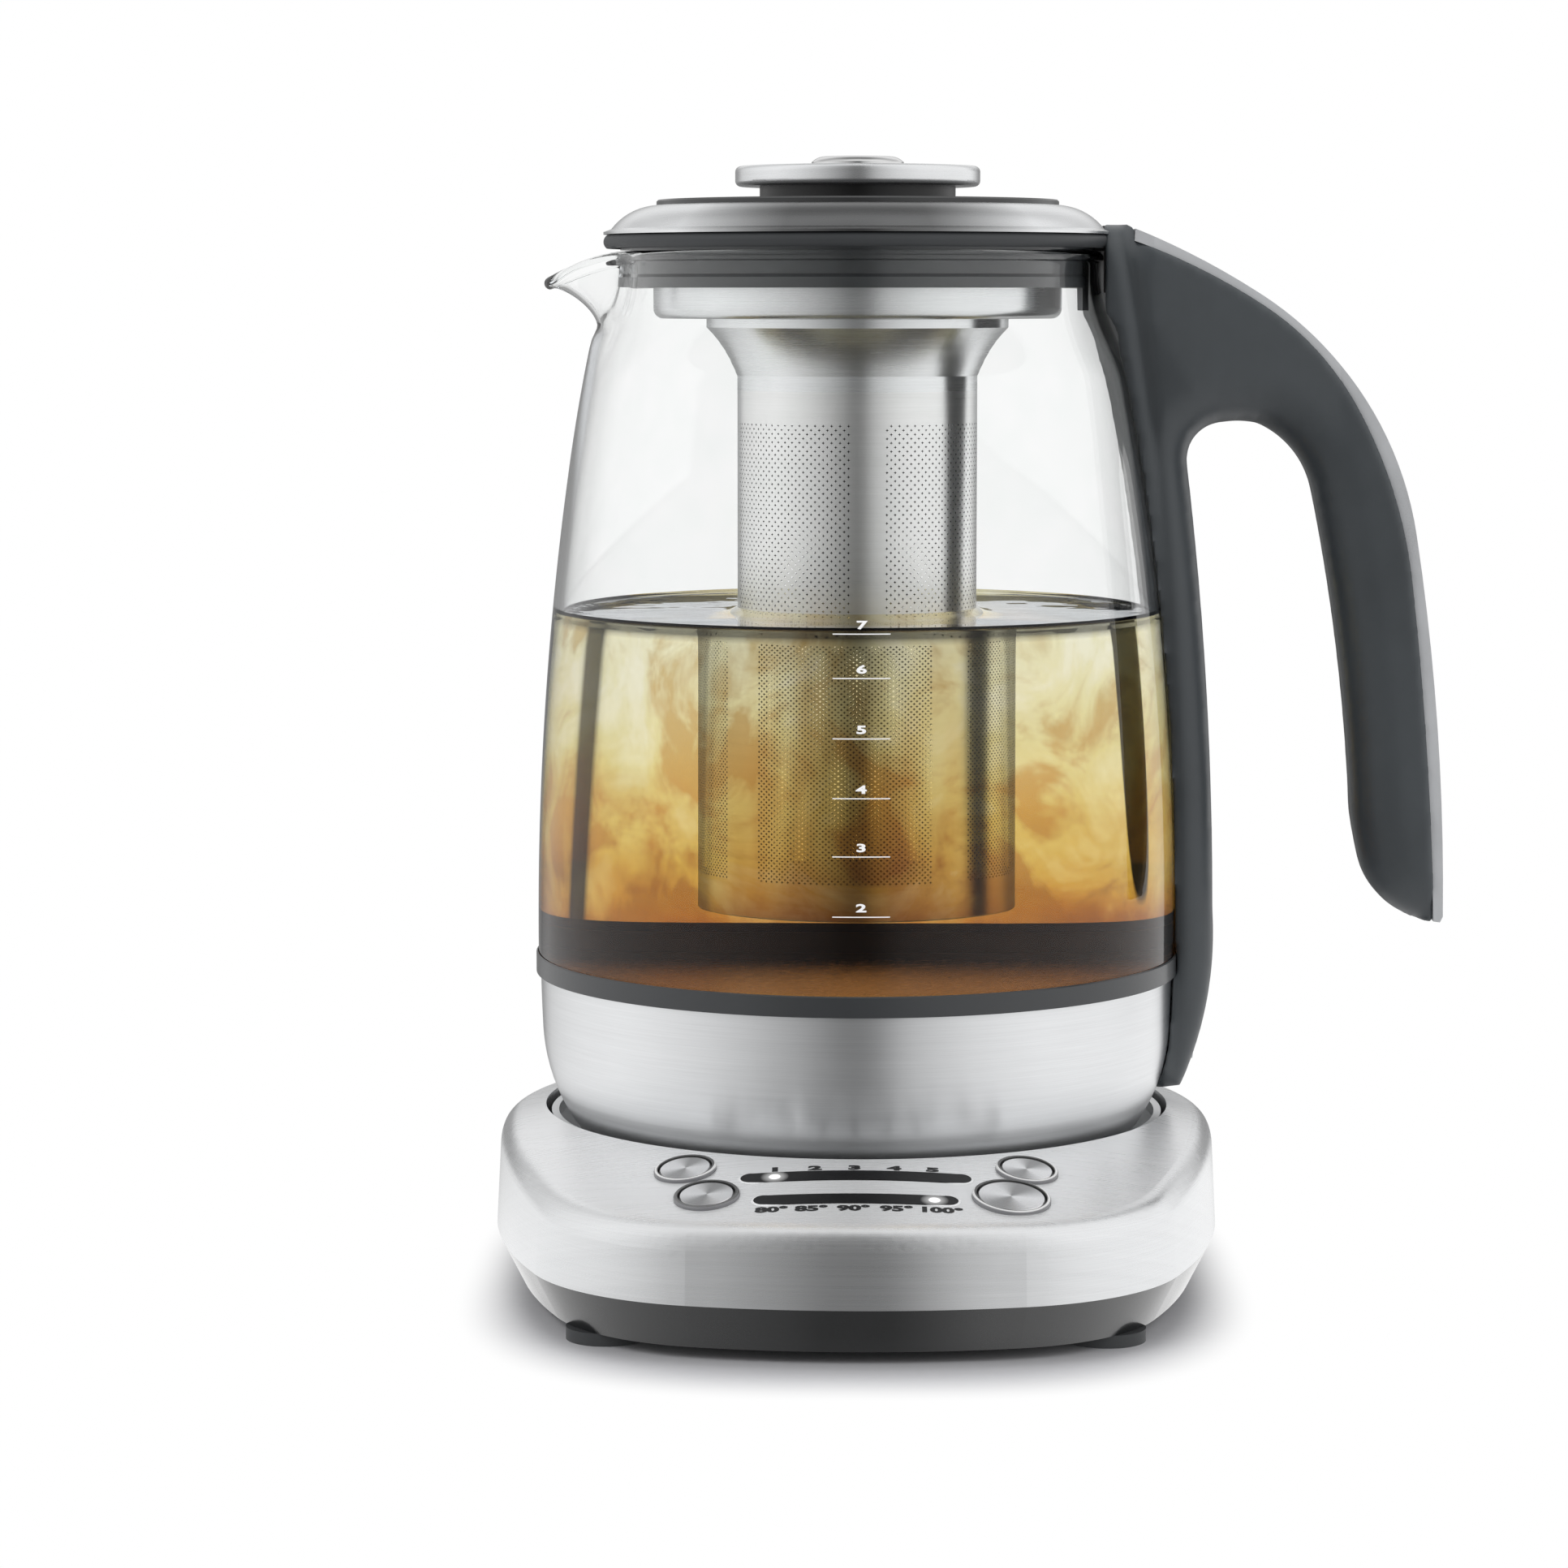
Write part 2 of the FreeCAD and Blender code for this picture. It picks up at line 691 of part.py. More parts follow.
def board_underside(x, y):
    """Height of the control board's lower face above a point of the floor."""
    depth = size("board_depth") + size("board_thickness")
    return deck_height(0, DECK_Y) - depth / math.cos(TILT) + (y - DECK_Y) * math.tan(TILT)


def control_posts():
    """Where the posts under the control board stand."""
    spots = []
    for name in ("post_outer", "post_inner"):
        for side in (-1, 1):
            spots.append((side * size(name + "_x"), DECK_Y - size(name + "_ahead")))
    return spots


BUTTONS = ["start_cancel", "start_timer", "temperature", "timer"]


def deck_frame(x, y):
    """Placement on the deck whose Z is the deck's outward normal."""
    around = math.atan2(y, x)
    axis = FreeCAD.Vector(-math.sin(around), math.cos(around), 0)
    turn = FreeCAD.Rotation(axis, size("deck_slope_deg"))
    return FreeCAD.Placement(FreeCAD.Vector(x, y, deck_height(x, y)), turn)


def make_deck_controls():
    """Buttons, their light rings and the holes they need in the deck."""
    holes = []
    for name in BUTTONS:
        frame = deck_frame(size(name + "_x"), size(name + "_y"))
        radius = name + "_radius"
        ring = revolved(name + "RingBody", [
            (radius + " + button_gap", "-ring_depth"),
            (radius + " + button_gap + ring_width", "-ring_depth"),
            (radius + " + button_gap + ring_width", "ring_rise - 0.3"),
            (radius + " + button_gap + ring_width - 0.3", "ring_rise"),
            (radius + " + button_gap", "ring_rise"),
        ])
        ring.Placement = frame
        node("%s_ring" % name, ring)
        stem = size("button_travel") + size("press_gap") - stem_depth(board_level(frame))
        button = revolved(name + "ButtonBody", [
            ("0", "%.4f" % stem),
            ("button_stem_radius", "%.4f" % stem),
            ("button_stem_radius", "button_rise - button_face"),
            (radius, "button_rise - button_face"),
            (radius, "button_rise - 0.35"),
            (radius + " - 0.35", "button_rise"),
            ("0", "button_rise - 0.15"),
        ])
        button.Placement = frame
        node("%s_button" % name, button)
        hole = bind(doc.addObject("Part::Cylinder", name + "Hole"),
                    Radius=radius + " + button_gap + ring_width + ring_fit", Height="14.0")
        offset = FreeCAD.Placement(FreeCAD.Vector(0, 0, -7.0), FreeCAD.Rotation())
        hole.Placement = frame.multiply(offset)
        holes.append(hole)
    return holes


def board_level(frame):
    """How far a deck point lies above the plane of the board's frame."""
    board = board_frame()
    normal = board.Rotation.multVec(FreeCAD.Vector(0, 0, 1))
    return normal.dot(frame.Base - board.Base)


def stem_depth(level):
    """Distance along the board's normal from a deck point down to the top of a switch."""
    return level + size("board_depth") - size("switch_height")


def slot_prism(name, y, length, width, bottom, height):
    """Upright prism with round ends over a display slot."""
    half = size(length) / 2 - amount(width) / 2
    return padded(name, "XY_Plane", [
        ("-" + "%.4f" % half, y + " - %.4f" % (amount(width) / 2)),
        ("%.4f" % half, y + " - %.4f" % (amount(width) / 2)),
        ("%.4f" % (half + amount(width) / 2), y, "via"),
        ("%.4f" % half, y + " + %.4f" % (amount(width) / 2)),
        ("-" + "%.4f" % half, y + " + %.4f" % (amount(width) / 2)),
        ("-" + "%.4f" % (half + amount(width) / 2), y, "via"),
    ], height, bottom)


def deck_sheet(name, under, over):
    """Thin cone that follows the deck between two depths, for what lies in it."""
    reach = "deck_reach"
    near = "recess_radius - 2.0"
    rise = size("deck_fall") * 2.0
    fall = size("deck_fall") * (amount(reach) - size("recess_radius"))
    return revolved(name, [
        (near, "recess_rim_z + %.4f - %s" % (rise, under)),
        (reach, "recess_rim_z - %.4f - %s" % (fall, under)),
        (reach, "recess_rim_z - %.4f + %s" % (fall, over)),
        (near, "recess_rim_z + %.4f + %s" % (rise, over)),
    ])


def make_windows():
    """Two dark display windows that follow the deck, and their slots."""
    slots = []
    for name, y, length in (("upper", "window_upper_y", "window_upper_length"),
                            ("lower", "window_lower_y", "window_lower_length")):
        prism = slot_prism(name + "Prism", y, length, "window_width", "recess_rim_z - 15.0", "20.0")
        skin = deck_sheet(name + "Skin", "window_depth", "window_rise")
        node("led_window_%s" % name, shared(name + "Window", prism, skin))
        wide = slot_prism(name + "Slot", y, length, "window_width + 0.1", "recess_rim_z - 15.0",
                          "20.0")
        slots.append(wide)
    return slots


def make_shroud():
    """Steel cover of the base: drafted wall, conical deck, recess for the jug and control holes."""
    height = "recess_rim_z - tray_top_z + 4.0"
    outside = raised("ShroudOutside", footprint("ShroudFoot", "0", "tray_top_z"), height,
                     "-shroud_draft_deg")
    crown = revolved("DeckCut", [
        ("recess_radius", "tray_top_z - 1.0"),
        ("recess_radius", "recess_rim_z"),
        ("deck_reach", "deck_edge_z"),
        ("deck_reach", "recess_rim_z + 20.0"),
        ("0", "recess_rim_z + 20.0"),
        ("0", "tray_top_z - 1.0"),
    ])
    blank = without("ShroudBlank", outside, crown)
    doc.recompute()
    rounded = doc.addObject("Part::Fillet", "ShroudRounded")
    rounded.Base = blank
    edge_radius = size("shroud_edge_radius")
    low = size("deck_edge_z")
    edges = base_edges(blank.Shape, low, size("recess_rim_z") - 0.5, size("recess_radius") + 5.0)
    rounded.Edges = [(number, edge_radius, edge_radius) for number in edges]
    inside = raised("ShroudInside", footprint("ShroudInner", "-shroud_wall", "tray_top_z - 0.5"),
                    height, "-shroud_draft_deg")
    under = revolved("DeckUnder", [
        ("recess_radius + shroud_wall", "tray_top_z - 1.0"),
        ("recess_radius + shroud_wall", "recess_rim_z - shroud_wall"),
        ("deck_reach", "deck_edge_z - shroud_wall"),
        ("deck_reach", "tray_top_z - 1.0"),
    ])
    core = shared("ShroudCore", inside, under)
    doc.recompute()
    soft_core = doc.addObject("Part::Fillet", "ShroudSoftCore")
    soft_core.Base = core
    inner_radius = edge_radius - size("shroud_wall")
    edges = base_edges(core.Shape, low - 2.0, size("recess_rim_z") - 0.5,
                       size("recess_radius") + 5.0)
    soft_core.Edges = [(number, inner_radius, inner_radius) for number in edges]
    skirt = cylinder("RecessBelow", "recess_radius + 2.0", "recess_rim_z - tray_top_z - 4.0",
                     "0", "0", "tray_top_z - 1.0")
    gland = bind(doc.addObject("Part::Cylinder", "InletHole"), Radius="inlet_radius + screw_fit",
                 Height="30.0")
    gland.Placement = FreeCAD.Placement(FreeCAD.Vector(0, size("recess_radius") + 1.0, size("inlet_z")),
                                        FreeCAD.Rotation(FreeCAD.Vector(1, 0, 0), -90))
    tools = [soft_core, skirt, gland] + make_deck_controls() + make_windows()
    node("base_shroud", without("Shroud", rounded, joined("ShroudTools", tools)))


def make_feet_and_screws():
    """Four rubber feet under the tray and four screws that hold the cradle."""
    feet = []
    for name, y in (("foot_front", "foot_front_y"), ("foot_back", "foot_back_y")):
        for side in ("", "-"):
            feet.append(cylinder("Foot", "foot_radius", "foot_height", side + name + "_x", y))
    node("base_feet", group("Feet", feet))
    screws = []
    circle = size("screw_circle")
    for number in range(4):
        angle = math.radians(45 + 90 * number)
        x = str(circle * math.cos(angle))
        y = str(circle * math.sin(angle))
        head = cylinder("ScrewHead", "screw_head_radius", "screw_head_height", x, y,
                        "foot_height + 1.2 - screw_head_height")
        shank = cylinder("ScrewShank", "screw_radius", "screw_length", x, y, "foot_height + 1.1")
        screws.append(joined("Screw%d" % number, [head, shank]))
    node("base_screws", group("Screws", screws))


def make_cradle():
    """Moulded bowl under the jug, with a skirt that stands on the tray and bosses for screws."""
    bowl = revolved("CradleBowl", [
        ("connector_hole", "cradle_floor_z - cradle_floor"),
        ("skirt_inner_radius", "cradle_floor_z - cradle_floor"),
        ("skirt_inner_radius", "tray_floor_z"),
        ("cradle_skirt_radius", "tray_floor_z"),
        ("cradle_skirt_radius", "cradle_floor_z - cradle_floor"),
        ("cradle_floor_radius + 1.0", "cradle_floor_z - cradle_floor"),
        ("shell_foot_radius + 8.0", "shell_foot_z", "via"),
        ("cradle_lip_radius", "cradle_lip_z - 3.0"),
        ("cradle_lip_radius", "cradle_lip_z"),
        ("cradle_lip_radius - cradle_wall", "cradle_lip_z"),
        ("cradle_lip_radius - cradle_wall", "cradle_lip_z - 3.0"),
        ("shell_foot_radius + 6.2", "shell_foot_z", "via"),
        ("cradle_floor_radius", "cradle_floor_z"),
        ("connector_hole", "cradle_floor_z"),
    ])
    pieces = [bowl]
    holes = []
    circle = size("screw_circle")
    for number in range(4):
        angle = math.radians(45 + 90 * number)
        x = str(circle * math.cos(angle))
        y = str(circle * math.sin(angle))
        pieces.append(cylinder("CradleBoss", "cradle_boss_radius",
                               "cradle_floor_z - cradle_floor - tray_floor_z", x, y, "tray_floor_z"))
        holes.append(cylinder("CradlePilot", "screw_radius + screw_fit", "screw_length", x, y,
                              "foot_height + 1.5"))
    node("base_cradle", without("Cradle", joined("CradleSolid", pieces),
                                joined("CradlePilots", holes)))


def make_power():
    """What brings the power in: inlet, board, relay, connector post and its contact rings."""
    node("power_connector", revolved("ConnectorPost", [
        ("pin_radius", "tray_floor_z"),
        ("connector_radius + connector_flange", "tray_floor_z"),
        ("connector_radius + connector_flange", "tray_floor_z + 2.0"),
        ("connector_radius", "tray_floor_z + 2.0"),
        ("connector_radius", "connector_top_z - 1.0"),
        ("connector_radius - 1.0", "connector_top_z"),
        ("contact_radius + contact_width", "connector_top_z"),
        ("contact_radius + contact_width", "connector_top_z - 6.0"),
        ("contact_radius", "connector_top_z - 6.0"),
        ("contact_radius", "connector_top_z"),
        ("pin_radius", "connector_top_z"),
    ]))
    ring = revolved("ContactRing", [
        ("contact_radius", "connector_top_z - 6.0"),
        ("contact_radius + contact_width", "connector_top_z - 6.0"),
        ("contact_radius + contact_width", "connector_top_z + contact_rise"),
        ("contact_radius", "connector_top_z + contact_rise"),
    ])
    pin = cylinder("ContactPin", "pin_radius", "connector_top_z - tray_floor_z + contact_rise",
                   "0", "0", "tray_floor_z")
    node("connector_contacts", group("Contacts", [ring, pin]))
    board = block("PowerBoard", "power_board_length", "power_board_depth", "board_thickness",
                  "-power_board_half", "power_board_front", "power_board_z")
    node("power_board", board)
    top = "power_board_z + board_thickness"
    node("power_relay", block("Relay", "relay_length", "relay_depth", "relay_height",
                              "-relay_half", "power_board_front + relay_margin", top))
    gland = revolved("InletGland", [
        ("inlet_bore", "0"),
        ("inlet_radius", "0"),
        ("inlet_radius", "inlet_length"),
        ("inlet_radius + 2.2", "inlet_length"),
        ("inlet_radius + 2.2", "inlet_length + inlet_flange - 0.6"),
        ("inlet_radius + 1.6", "inlet_length + inlet_flange"),
        ("inlet_bore", "inlet_length + inlet_flange"),
    ])
    gland.Placement = FreeCAD.Placement(
        FreeCAD.Vector(0, size("back_radius") + 0.1 - size("inlet_length"), size("inlet_z")),
        FreeCAD.Rotation(FreeCAD.Vector(1, 0, 0), -90))
    node("cord_inlet", gland)


def make_control_board():
    """Control board along the deck, the switches under the buttons and the light guides."""
    frame = board_frame()
    board = padded("ControlBoard", "XY_Plane", [
        ("-board_half_width", "board_front"),
        ("board_half_width", "board_front"),
        ("board_half_width", "board_ear_back"),
        ("board_ear_x", "board_ear_back"),
        ("board_ear_x", "board_back"),
        ("-board_ear_x", "board_back"),
        ("-board_ear_x", "board_ear_back"),
        ("-board_half_width", "board_ear_back"),
    ], "board_thickness", "-board_depth - board_thickness")
    board.Placement = frame
    node("control_board", board)
    switches = []
    for name in BUTTONS:
        spot = frame.inverse().multVec(deck_frame(size(name + "_x"), size(name + "_y")).Base)
        normal = frame.inverse().Rotation.multVec(
            deck_frame(size(name + "_x"), size(name + "_y")).Rotation.multVec(
                FreeCAD.Vector(0, 0, 1)))
        spot = spot - normal * stem_depth(spot.z)
        switch = bind(doc.addObject("Part::Box", name + "Switch"), Length="switch_side",
                      Width="switch_side", Height="switch_height")
        half = size("switch_side") / 2
        corner = FreeCAD.Vector(spot.x - half, spot.y - half, -size("board_depth"))
        switch.Placement = frame.multiply(FreeCAD.Placement(corner, FreeCAD.Rotation()))
        switches.append(switch)
    node("tact_switches", group("Switches", switches))
    guides = []
    for row_y in ("window_upper_y", "window_lower_y"):
        for number in range(-2, 3):
            x = number * size("led_pitch")
            y = size(row_y)
            spot = frame.inverse().multVec(FreeCAD.Vector(x, y, deck_height(x, y)))
            guide = bind(doc.addObject("Part::Box", "Guide"), Length="led_width",
                         Width="led_width", Height="led_height")
            half = size("led_width") / 2
            corner = FreeCAD.Vector(spot.x - half, spot.y - half, -size("board_depth"))
            guide.Placement = frame.multiply(FreeCAD.Placement(corner, FreeCAD.Rotation()))
            guides.append(guide)
    node("led_light_guides", group("Guides", guides))


# ---------------------------------------------------------------- jug

def make_jug_base():
    """Steel shell under the glass with the underside, the chassis, the heater and the socket."""
    shell = revolved("JugShell", [
        ("shell_top_radius", "shell_top_z"),
        ("shell_top_radius - 0.2", "shell_top_z - 7.2", "via"),
        ("shell_belly_radius", "shell_belly_z"),
        ("shell_turn_radius", "shell_turn_z", "via"),
        ("shell_foot_radius", "shell_foot_z"),
        ("shell_foot_radius - 4.0", "shell_foot_z"),
        ("shell_foot_radius - 4.0", "shell_foot_z + shell_wall"),
        ("shell_foot_radius - 0.6", "shell_foot_z + shell_wall"),
        ("shell_turn_radius - 1.05", "shell_turn_z + 0.6", "via"),
        ("shell_belly_radius - shell_wall", "shell_belly_z"),
        ("shell_top_radius - shell_wall - 0.2", "shell_top_z - 7.2", "via"),
        ("shell_top_radius - shell_wall", "shell_top_z"),
    ])
    holes = [screw_bore("ShellHole", z, "handle_screw_radius + 0.1") for z in HANDLE_SCREWS]
    node("jug_shell", without("ShellBored", shell, joined("ShellHoles", holes)))
    node("jug_underside", revolved("Underside", [
        ("socket_radius + 0.1", "underside_z"),
        ("shell_foot_radius - 8.0", "underside_z"),
        ("shell_foot_radius - 8.0", "jug_foot_z"),
        ("shell_foot_radius - 5.0", "jug_foot_z"),
        ("shell_foot_radius - 4.3", "underside_z"),
        ("shell_foot_radius - 4.3", "shell_foot_z + shell_wall"),
        ("shell_foot_radius - 1.6", "shell_foot_z + shell_wall"),
        ("shell_foot_radius - 1.6", "shell_foot_z + shell_wall + underside_wall"),
        ("shell_foot_radius - 7.0", "shell_foot_z + shell_wall + underside_wall"),
        ("shell_foot_radius - 7.0", "underside_z + underside_wall"),
        ("socket_radius + 0.1", "underside_z + underside_wall"),
    ]))
    foot = "shell_foot_z + shell_wall + underside_wall"
    node("jug_chassis", revolved("Chassis", [
        ("shell_foot_radius - 5.0", foot),
        ("shell_foot_radius - 2.0", foot),
        ("shell_foot_radius - 2.0", "plate_bottom_z - 2.0"),
        ("frame_top_radius", "plate_bottom_z - 2.0"),
        ("frame_top_radius", "plate_bottom_z"),
        ("shell_foot_radius - 5.0", "plate_bottom_z"),
    ]))
    node("heater_plate", revolved("HeaterPlate", [
        ("0", "plate_bottom_z"),
        ("frame_top_radius", "plate_bottom_z"),
        ("frame_top_radius", "plate_top_z"),
        ("0", "plate_top_z"),
    ]))
    torus = bind(doc.addObject("Part::Torus", "ElementRing"), Radius1="element_circle",
                 Radius2="element_radius")
    place(torus, z="plate_bottom_z - element_radius - 0.1")
    legs = [torus]
    for side in ("", "-"):
        legs.append(cylinder("ElementLeg", "element_radius - 1.0",
                             "plate_bottom_z - socket_top_z - 8.0", side + "element_circle", "0",
                             "socket_top_z + 4.0"))
    node("heating_element", joined("Element", legs))
    node("jug_socket", revolved("Socket", [
        ("connector_hole", "underside_z - 1.0"),
        ("socket_radius", "underside_z - 1.0"),
        ("socket_radius", "underside_z + underside_wall"),
        ("socket_radius + 5.0", "underside_z + underside_wall"),
        ("socket_radius + 5.0", "underside_z + underside_wall + 2.0"),
        ("socket_radius", "underside_z + underside_wall + 2.0"),
        ("socket_radius", "socket_top_z + 3.0"),
        ("0", "socket_top_z + 3.0"),
        ("0", "socket_top_z"),
        ("connector_hole", "socket_top_z"),
    ]))
    pins = [cylinder("SocketPin", "pin_radius - 0.8", "1.2", "0", "0", "socket_top_z - 1.2")]
    for x, y in (("contact_radius + 0.8", "0"), ("-contact_radius - 0.8", "0")):
        pins.append(cylinder("SocketPin", "contact_width - 0.9", "1.2", x, y, "socket_top_z - 1.2"))
    node("socket_contacts", group("SocketPins", pins))
    node("glass_collar", revolved("GlassCollar", [
        ("frame_top_radius - 4.8", "plate_top_z"),
        ("frame_top_radius", "plate_top_z"),
        ("frame_top_radius", "shell_top_z"),
        ("collar_radius", "shell_top_z"),
        ("collar_radius", "collar_top_z - 0.3"),
        ("glass_foot_radius + 0.2", "collar_top_z"),
        ("glass_foot_radius + 0.2", "glass_foot_z - 0.1"),
        ("glass_foot_radius - glass_wall - 0.3", "glass_foot_z - 0.1"),
        ("glass_foot_radius - glass_wall - 0.3", "collar_top_z - 2.0"),
        ("frame_top_radius - 1.6", "collar_top_z - 2.0"),
        ("frame_top_radius - 1.6", "plate_top_z + 1.2"),
        ("frame_top_radius - 4.8", "plate_top_z + 1.2"),
    ]))


GLASS_SIDE = [
    ("glass_foot_radius", "glass_foot_z"),
    ("glass_waist_radius", "glass_waist_z", "via"),
    ("glass_chest_radius", "glass_chest_z"),
    ("glass_upper_radius", "glass_upper_z", "via"),
    ("glass_shoulder_radius", "glass_shoulder_z"),
    ("neck_radius + 1.0", "neck_z - 2.2", "via"),
    ("neck_radius", "neck_z + 1.5"),
]


def inwards(points, wall):
    """The same profile moved towards the axis by a wall."""
    moved = []
    for point in points:
        moved.append((point[0] + " " + wall,) + point[1:])
    return moved


def spout_section(z, reach, half_width, tip, radius):
    """Level outline of the spout: two flanks from inside the neck to a round tip."""
    root = math.sqrt(radius * radius - half_width * half_width)
    length = math.hypot(reach - tip - root, half_width)
    turn = math.asin(min(0.95, (half_width - tip) / length))
    x = -(reach - tip) - tip * math.sin(turn)
    y = tip * math.cos(turn)
    inner = -root + size("spout_root_depth")
    first = FreeCAD.Vector(inner, half_width, z)
    last = FreeCAD.Vector(inner, -half_width, z)
    flank = FreeCAD.Vector(-root, half_width, z)
    back = FreeCAD.Vector(-root, -half_width, z)
    upper = FreeCAD.Vector(x, y, z)
    lower = FreeCAD.Vector(x, -y, z)
    front = FreeCAD.Vector(-reach, 0, z)
    return Part.Wire([
        Part.LineSegment(first, flank).toShape(),
        Part.LineSegment(flank, upper).toShape(),
        Part.Arc(upper, front, lower).toShape(),
        Part.LineSegment(lower, back).toShape(),
        Part.LineSegment(back, last).toShape(),
        Part.LineSegment(last, first).toShape(),
    ])


def spout_solid(wall):
    """Spout drawn out of the neck: a loft between level outlines, thinner by a wall."""
    top = size("rim_z") + 6.0
    root = size("spout_root_z")
    tip = size("spout_tip_z")
    neck = size("neck_radius") - wall
    reach = size("spout_reach")
    shoulder = size("glass_shoulder_radius")
    half = size("spout_half_width")
    round_tip = size("spout_tip_radius")
    lean = (reach - shoulder) / (tip - root)
    levels = [
        (root - 1.0, shoulder - 1.2, half * 0.45, round_tip * 0.6),
        ((root + tip) / 2, shoulder + lean * (tip - root) * 0.36, half * 0.7, round_tip * 0.8),
        (tip, reach, half, round_tip),
        (top, reach + 1.5, half * 1.1, round_tip),
    ]
    wires = []
    for z, reach_here, half_here, tip_here in levels:
        wires.append(spout_section(z + wall * 0.7, reach_here - wall, half_here - wall,
                                   max(tip_here - wall, 0.8), neck))
    return Part.makeLoft(wires, True, False)


def make_glass():
    """Glass body: a turned profile with a spout drawn out of its neck."""
    outside = revolved("GlassOutside", [("0", "glass_foot_z")] + GLASS_SIDE + [
        ("neck_radius + rim_bead", "rim_z - 1.0"),
        ("neck_radius + rim_bead - 0.4", "rim_z"),
        ("0", "rim_z"),
    ])
    inside = revolved("GlassInside", [("0", "glass_foot_z - 1.0"),
                                      ("glass_foot_radius - glass_wall", "glass_foot_z - 1.0")]
                      + inwards(GLASS_SIDE, "- glass_wall") + [
        ("neck_bore", "rim_z + 1.0"),
        ("0", "rim_z + 1.0"),
    ])
    doc.recompute()
    spout = spout_solid(0.0)
    channel = spout_solid(size("glass_wall"))
    rise = FreeCAD.Vector(1, 0, (size("rim_z") - size("spout_tip_z"))
                          / (size("spout_reach") - size("neck_radius")))
    reach = size("spout_reach")
    lip = Part.makeBox(reach, 2 * reach, reach)
    lip.translate(FreeCAD.Vector(-reach, -reach, 0))
    lip.Placement = FreeCAD.Placement(
        FreeCAD.Vector(-size("neck_radius") + 1.0, 0, size("rim_z")),
        FreeCAD.Rotation(FreeCAD.Vector(1, 0, 0), rise)).multiply(lip.Placement)
    spout = spout.cut(lip)
    slab = Part.makeBox(4 * reach, 4 * reach, reach,
                        FreeCAD.Vector(-2 * reach, -2 * reach, size("rim_z")))
    spout = spout.cut(slab)
    wall = outside.Shape.fuse(spout).cut(inside.Shape.fuse(channel))
    glass = doc.addObject("Part::Feature", "Glass")
    glass.Shape = wall
    glass.Placement = FreeCAD.Placement()
    node("glass_body", glass)


# ---------------------------------------------------------------- handle

HANDLE_SCREWS = ("spine_foot_z + 10.5", "spine_foot_z + 19.5")

HANDLE_BACK = [
    ("handle_top_x + 1.4", "handle_top_z - 4.0"),
    ("handle_top_x + 17.8", "handle_top_z - 10.9", "via"),
    ("handle_top_x + 33.2", "handle_top_z - 19.6"),
    ("handle_reach - 30.7", "handle_top_z - 30.2", "via"),
    ("handle_reach - 20.8", "handle_top_z - 43.5"),
    ("handle_reach - 11.5", "handle_top_z - 64.4", "via"),
    ("handle_reach - 6.5", "handle_top_z - 86.8"),
    ("handle_reach - 2.3", "handle_foot_z + 41.9", "via"),
    ("handle_reach", "handle_foot_z"),
]

HANDLE_FRONT = [
    ("handle_reach - 1.0", "handle_foot_z - 0.3"),
    ("handle_reach - 11.5", "handle_foot_z + 4.5", "via"),
    ("handle_reach - 17.4", "handle_foot_z + 14.5"),
    ("handle_reach - 18.6", "handle_foot_z + 20.1", "via"),
    ("handle_reach - 19.6", "handle_foot_z + 25.7"),
    ("handle_reach - 23.8", "handle_foot_z + 70.2", "via"),
    ("handle_reach - arch_far", "arch_top_z - 17.0"),
    ("handle_reach - arch_far - 5.8", "arch_top_z - 5.9", "via"),
    ("arch_middle_x + 1.85", "arch_top_z - 0.5"),
    ("arch_middle_x - 2.85", "arch_top_z + 0.1", "via"),
    ("arch_middle_x - 6.95", "arch_top_z - 0.2"),
    ("glass_shoulder_radius + arch_near + 2.1", "arch_top_z - 3.3", "via"),
    ("glass_shoulder_radius + arch_near", "arch_top_z - 10.7"),
    ("glass_waist_radius + 9.1", "glass_waist_z + 5.0", "via"),
    ("collar_radius + 8.7", "collar_top_z + 10.4"),
    ("collar_radius + 7.2", "shell_belly_z + 4.8", "via"),
    ("shell_belly_radius + 2.7", "spine_foot_z + 0.6"),
    ("shell_belly_radius - 1.1", "spine_foot_z"),
]


def screw_bore(name, z, radius):
    """Level cylinder along a handle screw, from inside the shell to outside the spine."""
    bore = bind(doc.addObject("Part::Cylinder", name), Radius=radius,
                Height="handle_screw_reach")
    bore.Placement = FreeCAD.Placement(
        FreeCAD.Vector(size("jug_radius") - 10.0, 0, amount(z)),
        FreeCAD.Rotation(FreeCAD.Vector(0, 1, 0), 90))
    return bore


def handle_plan(name, inset):
    """Plan outline of the handle raised to its height: wide at the jug, slim at the grip."""
    return padded(name, "XY_Plane", [
        ("neck_radius - 6.0", "-arm_half_width + %s" % inset),
        ("neck_radius + 12.0", "-arm_half_width + %s" % inset),
        ("neck_radius + 36.0", "-grip_half_width - 3.3 + %s" % inset, "via"),
        ("neck_radius + 58.0", "-grip_half_width + %s" % inset),
        ("handle_reach + 8.0", "-grip_half_width + %s" % inset),
        ("handle_reach + 8.0", "grip_half_width - %s" % inset),
        ("neck_radius + 58.0", "grip_half_width - %s" % inset),
        ("neck_radius + 36.0", "grip_half_width + 3.3 - %s" % inset, "via"),
        ("neck_radius + 12.0", "arm_half_width - %s" % inset),
        ("neck_radius - 6.0", "arm_half_width - %s" % inset),
    ], "handle_top_z - spine_foot_z + 10.0", "spine_foot_z - 5.0")


